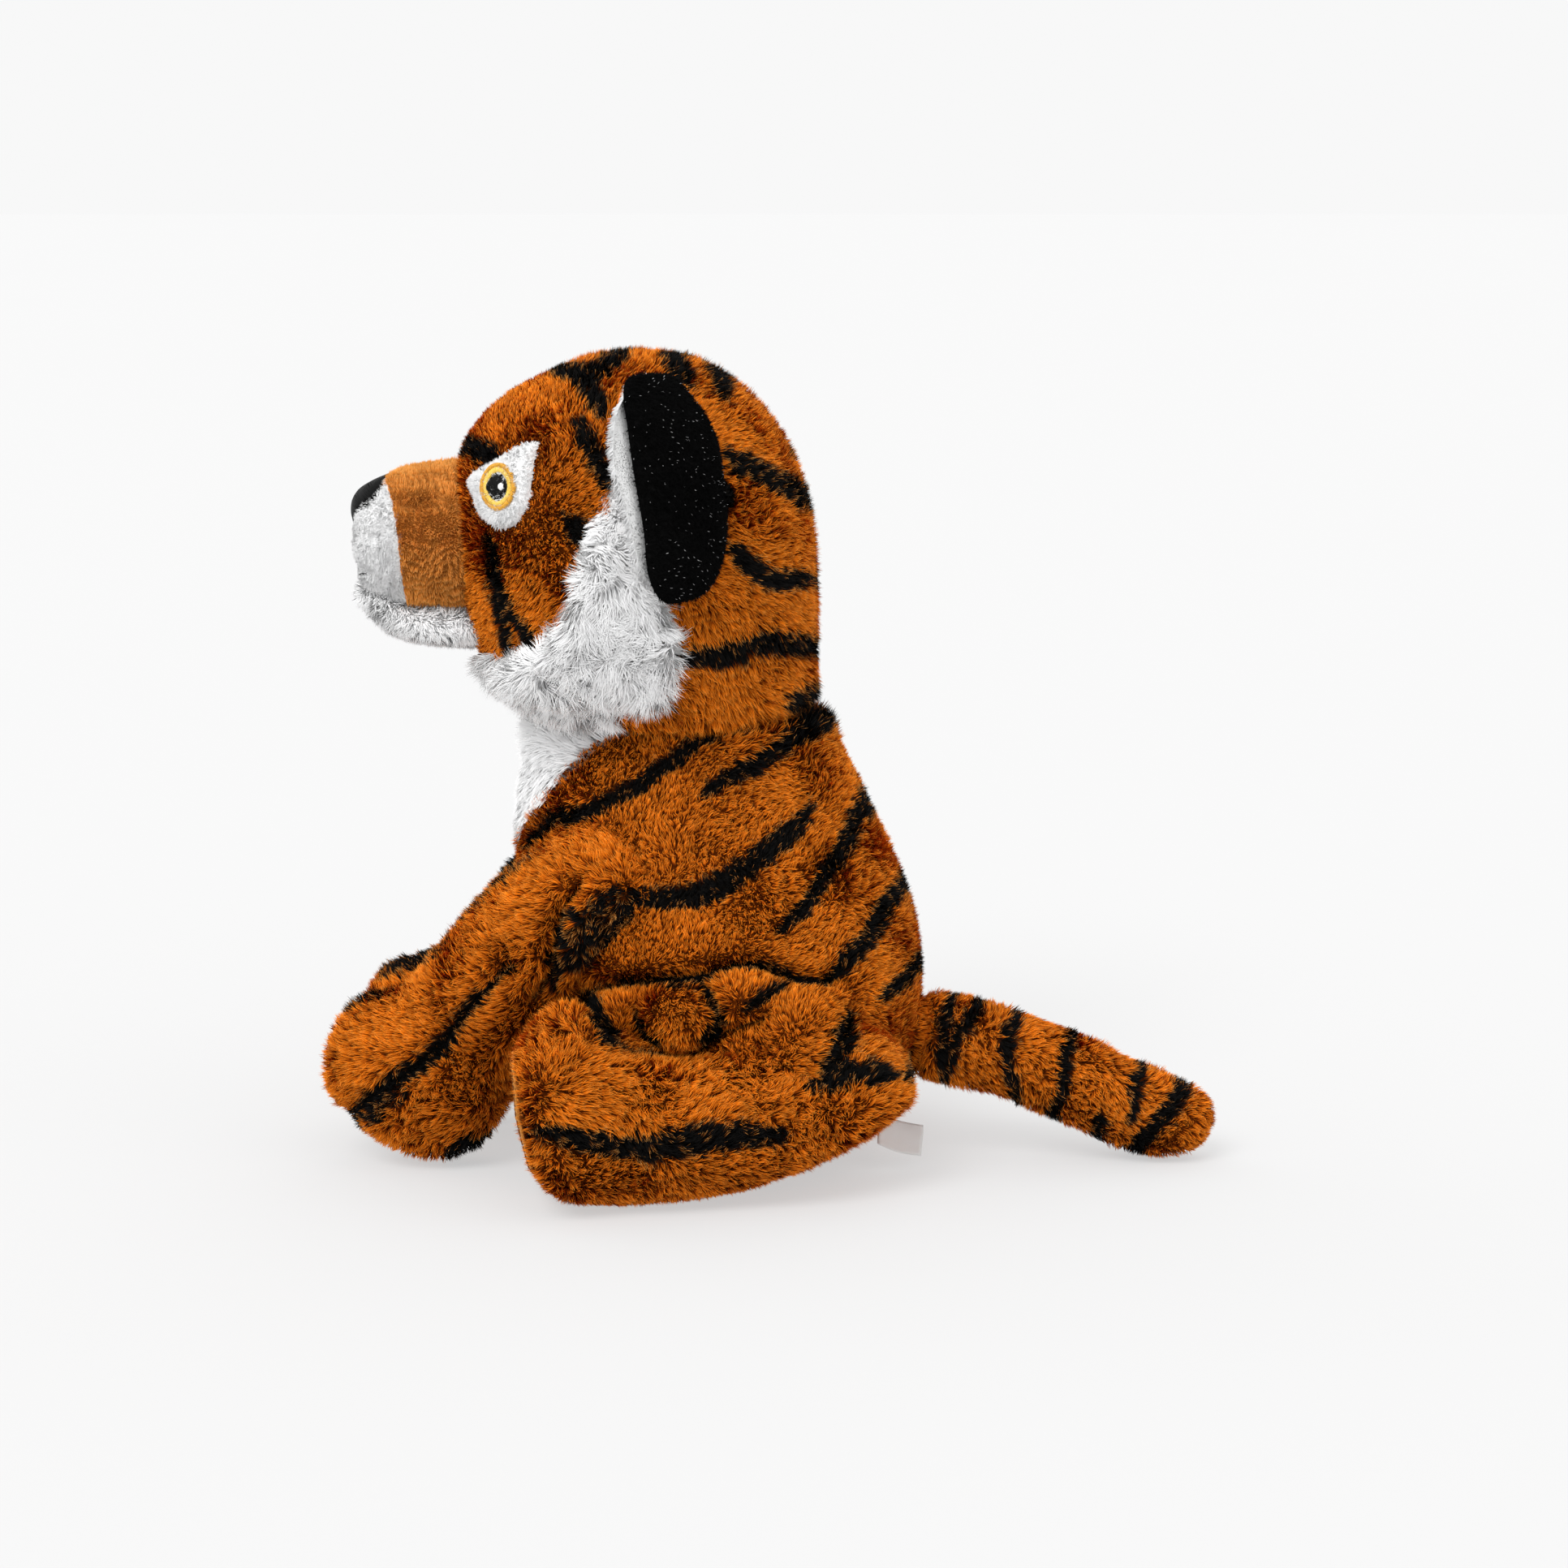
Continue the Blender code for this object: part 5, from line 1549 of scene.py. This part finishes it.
def threads(name, rows, outward, width, thread, body, side, *replaced):
    """Raised threads. Each row holds one thread's places, and outward its directions away from the cloth."""
    count, sections = rows.shape[:2]
    along = unit(np.gradient(rows, axis=1))
    across = unit(np.cross(along, outward))
    outward = unit(np.cross(across, along))
    size = np.full(sections, width / 2)
    size[[0, -1]] *= THREAD_TAPER
    corners = []
    for index in range(sections):
        for angle in np.arange(THREAD_SIDES) * 2 * math.pi / THREAD_SIDES:
            offset = across[:, index] * math.cos(angle) + outward[:, index] * math.sin(angle)
            corners.append(rows[:, index] + offset * size[index])
    faces = tube_faces(THREAD_SIDES, sections)
    for base, order in ((0, -1), (THREAD_SIDES * (sections - 1), 1)):
        faces += [(base, base + k, base + k + 1)[::order] for k in range(1, THREAD_SIDES - 1)]
    faces = (np.arange(count) * THREAD_SIDES * sections)[:, None, None] + np.array(faces)
    places, triangles = mirror(np.stack(corners, 1).reshape(-1, 3), faces.reshape(-1, 3), side)
    dress(new_mesh(name, places, triangles, thread.material), body, thread.slot, *replaced)


def stitches(name, spans, lift, thread, side, *replaced):
    """Straight stitches on the head, each from one pixel of the photo to another."""
    starts, ends = np.moveaxis(np.array(spans, float), 1, 0)
    rows = [seen_on(head_tree, starts + (ends - starts) * t, lift - STITCH_SINK * abs(2 * t - 1) ** 3)
            for t in np.linspace(0, 1, 5)]
    rows = np.stack(rows, 1)
    threads(name, rows, unit(camera_place - rows), STITCH_WIDTH, thread, "head", side, *replaced)


def oval_point(reach, share, angle):
    """A pixel at a share of an oval's reach round the eye's centre."""
    return (EYE_CENTRE[0] + reach[0] * share * math.cos(angle), EYE_CENTRE[1] + reach[1] * share * math.sin(angle))


def ring_spans(inner, outer, count):
    """Satin stitches across a ring, from the share inner of the iris to the share outer."""
    turns = [2 * math.pi * k / count for k in range(count)]
    return [(oval_point(IRIS_REACH, inner, turn), oval_point(IRIS_REACH, outer, turn + RING_SLANT)) for turn in turns]


def oval_spans(centre, reach, count):
    """Upright stitches side by side that fill an oval."""
    spans = []
    for k in range(count):
        share = (k + 0.5) / count * 2 - 1
        height = reach[1] * math.sqrt(1 - share * share)
        x = centre[0] + reach[0] * share
        spans.append(((x, centre[1] - height), (x, centre[1] + height)))
    return spans


def make_eye(side_name, side):
    """A white patch with a gold ring, a yellow ring, a black pupil and a glint, each in raised stitches."""
    skin = eye_patch(side)
    show_skin(f"{side_name}_eye_white", skin, white_cloth, "head", "white_pile", f"{side_name}_eye_patch")
    grow(f"{side_name}_eye_white_pile", skin, "head", white_hair, 250 + side, plain_look((0.5, 0, -0.3), 251),
         EYE_PILE)
    stitches(f"{side_name}_iris_ring", ring_spans(*IRIS_RING), STITCH_LIFT, gold_thread, side, f"{side_name}_iris")
    stitches(f"{side_name}_iris_inner", ring_spans(*IRIS_INNER), STITCH_LIFT, yellow_thread, side)
    stitches(f"{side_name}_pupil_fill", oval_spans(EYE_CENTRE, PUPIL_REACH, PUPIL_STITCHES), PUPIL_LIFT,
             black_thread, side, f"{side_name}_pupil")
    stitches(f"{side_name}_glint", oval_spans(GLINT_CENTRE, GLINT_REACH, GLINT_STITCHES), GLINT_LIFT,
             white_thread, side)


def sole_rim(side_name):
    """Short stitches round a sole, a little inside its rim."""
    skin = soles[side_name]
    tree = skin.tree()
    low, high = skin.places.min(0), skin.places.max(0)
    middle, reach = (low + high) / 2, (high - low) / 2 * SOLE_STITCH_RING
    rows = []
    for number in range(SOLE_STITCHES):
        row = []
        for step in np.linspace(0, SOLE_STITCH_LENGTH, 4):
            angle = (number + step) / SOLE_STITCHES * 2 * math.pi
            start = middle + (-PROBE, reach[1] * math.cos(angle), reach[2] * math.sin(angle))
            row.append(np.array(tree.ray_cast(start, REARWARD)[0]) - (SOLE_STITCH_LIFT, 0, 0))
        rows.append(row)
    rows = np.array(rows)
    threads(f"{side_name}_sole_stitches", rows, np.broadcast_to((-1.0, 0.0, 0.0), rows.shape), SOLE_STITCH_WIDTH,
            brown_thread, f"{side_name}_hind_leg", -1)


NOSE_SLANT = unit(np.array((-0.77, 0.0, 0.64)))


def line_points(points, count):
    """Count pixels evenly along a line through points."""
    points = np.array(points, float)
    spans = np.linalg.norm(np.diff(points, axis=0), axis=1)
    done = np.concatenate(((0,), np.cumsum(spans)))
    steps = np.linspace(0, done[-1], count)
    return np.stack([np.interp(steps, done, points[:, k]) for k in range(2)], 1)


def nose_grid(tree, lift):
    """Rows of places across the nose, from its top to its tip, on the muzzle's front."""
    rows = []
    edges = seen_on(tree, line_points(NOSE_EDGE, NOSE_ROWS), 0.0)
    halves = np.abs(edges[:, 1])
    for _ in range(30):
        halves = np.convolve(np.pad(halves, 1, "edge"), (0.25, 0.5, 0.25), "valid")
    for number, edge in enumerate(edges):
        s = number / (NOSE_ROWS - 1)
        corner = math.sqrt(1 - max(1 - s / NOSE_WIDEST, 0) ** 2) * 0.70 + 0.30
        taper = max(1 - max((s - NOSE_WIDEST) / (1 - NOSE_WIDEST), 0) ** 2, 0.01) ** 0.75
        row = []
        for t in np.linspace(-1, 1, NOSE_ACROSS):
            start = np.array((edge[0], halves[number] * t * corner * taper, edge[2])) + NOSE_SLANT * 0.03
            place, normal, _, _ = tree.ray_cast(start, -NOSE_SLANT)
            dome = NOSE_DOME * (1 - t * t) * math.sin(math.pi * min(max(s, 0.03), 0.97)) ** 0.5
            row.append(np.array(place) + np.array(normal) * (lift - NOSE_LIFT * abs(t) ** 6 + dome * (lift > 0)))
        rows.append(row)
    return np.array(rows)


def make_nose(tree):
    """A black pad with satin stitches laid across it."""
    places = np.concatenate([nose_grid(tree, lift).reshape(-1, 3) for lift in (NOSE_LIFT * 0.8, -NOSE_LIFT)])
    faces = slab_faces(NOSE_ROWS, NOSE_ACROSS)
    triangles = faced(places, faces[:, ((0, 1, 2), (0, 2, 3))].reshape(-1, 3), NOSE_SLANT)
    show_skin("nose_patch", Skin(places, triangles), black_cloth, "head", "black_pile", "nose")
    rows = nose_grid(tree, NOSE_LIFT)
    threads("nose_stitching", rows, np.broadcast_to(NOSE_SLANT, rows.shape), NOSE_STITCH_WIDTH, black_thread,
            "head", -1)


def make_mouth(tree, side_name, side):
    """Half of the mouth: one dark thread on the muzzle's front, from under the nose to the mouth's end."""
    end = seen_on(tree, MOUTH_LINE[-1:], 0.0)[0]
    line = []
    for t in np.linspace(0.02, 1, MOUTH_PLACES):
        drop = MOUTH_ARCH * math.sin(t * math.pi) - MOUTH_RISE * (1 - t)
        place, normal, _, _ = tree.ray_cast((end[0] - PROBE, end[1] * t, end[2] - drop), REARWARD)
        line.append(np.array(place) + np.array(normal) * MOUTH_LIFT)
    rows = np.array(line)[None]
    threads(f"{side_name}_mouth_line", rows, unit(camera_place - rows), MOUTH_WIDTH, black_thread, "head", side)


def make_label():
    """The sewn-in care label: a blank strip of woven tape with a fold at its seam."""
    out, up = unit(np.array(LABEL_OUT)), unit(np.array(LABEL_UP))
    away = np.cross(up, out)
    across, along = LABEL_GRID
    places = []
    for level in (0.5, -0.5):
        for s in np.arange(along + 1) / along:
            for t in np.arange(across + 1) / across:
                bend = LABEL_BENDS[0] * math.sin(s * 3.4) + LABEL_BENDS[1] * math.sin(t * 4.0 + s * 2)
                places.append(LABEL_ROOT + out * LABEL_SIZE[1] * s + up * LABEL_SIZE[0] * t
                              + away * (bend + level * LABEL_THICKNESS))
    places = np.array(places)
    faces = faced(places, slab_faces(along + 1, across + 1), away)
    label = new_mesh("blank_care_label", places, faces, make_tape(out, up))
    dress(label, "torso", "label_tape", "care_label")


for side_name, _ in SIDES:
    sole_rim(side_name)
for side_name, side in SIDES:
    make_eye(side_name, side)
muzzle_tree = muzzle.tree()
make_nose(muzzle_tree)
for side_name, side in SIDES:
    make_mouth(muzzle_tree, side_name, side)
make_label()
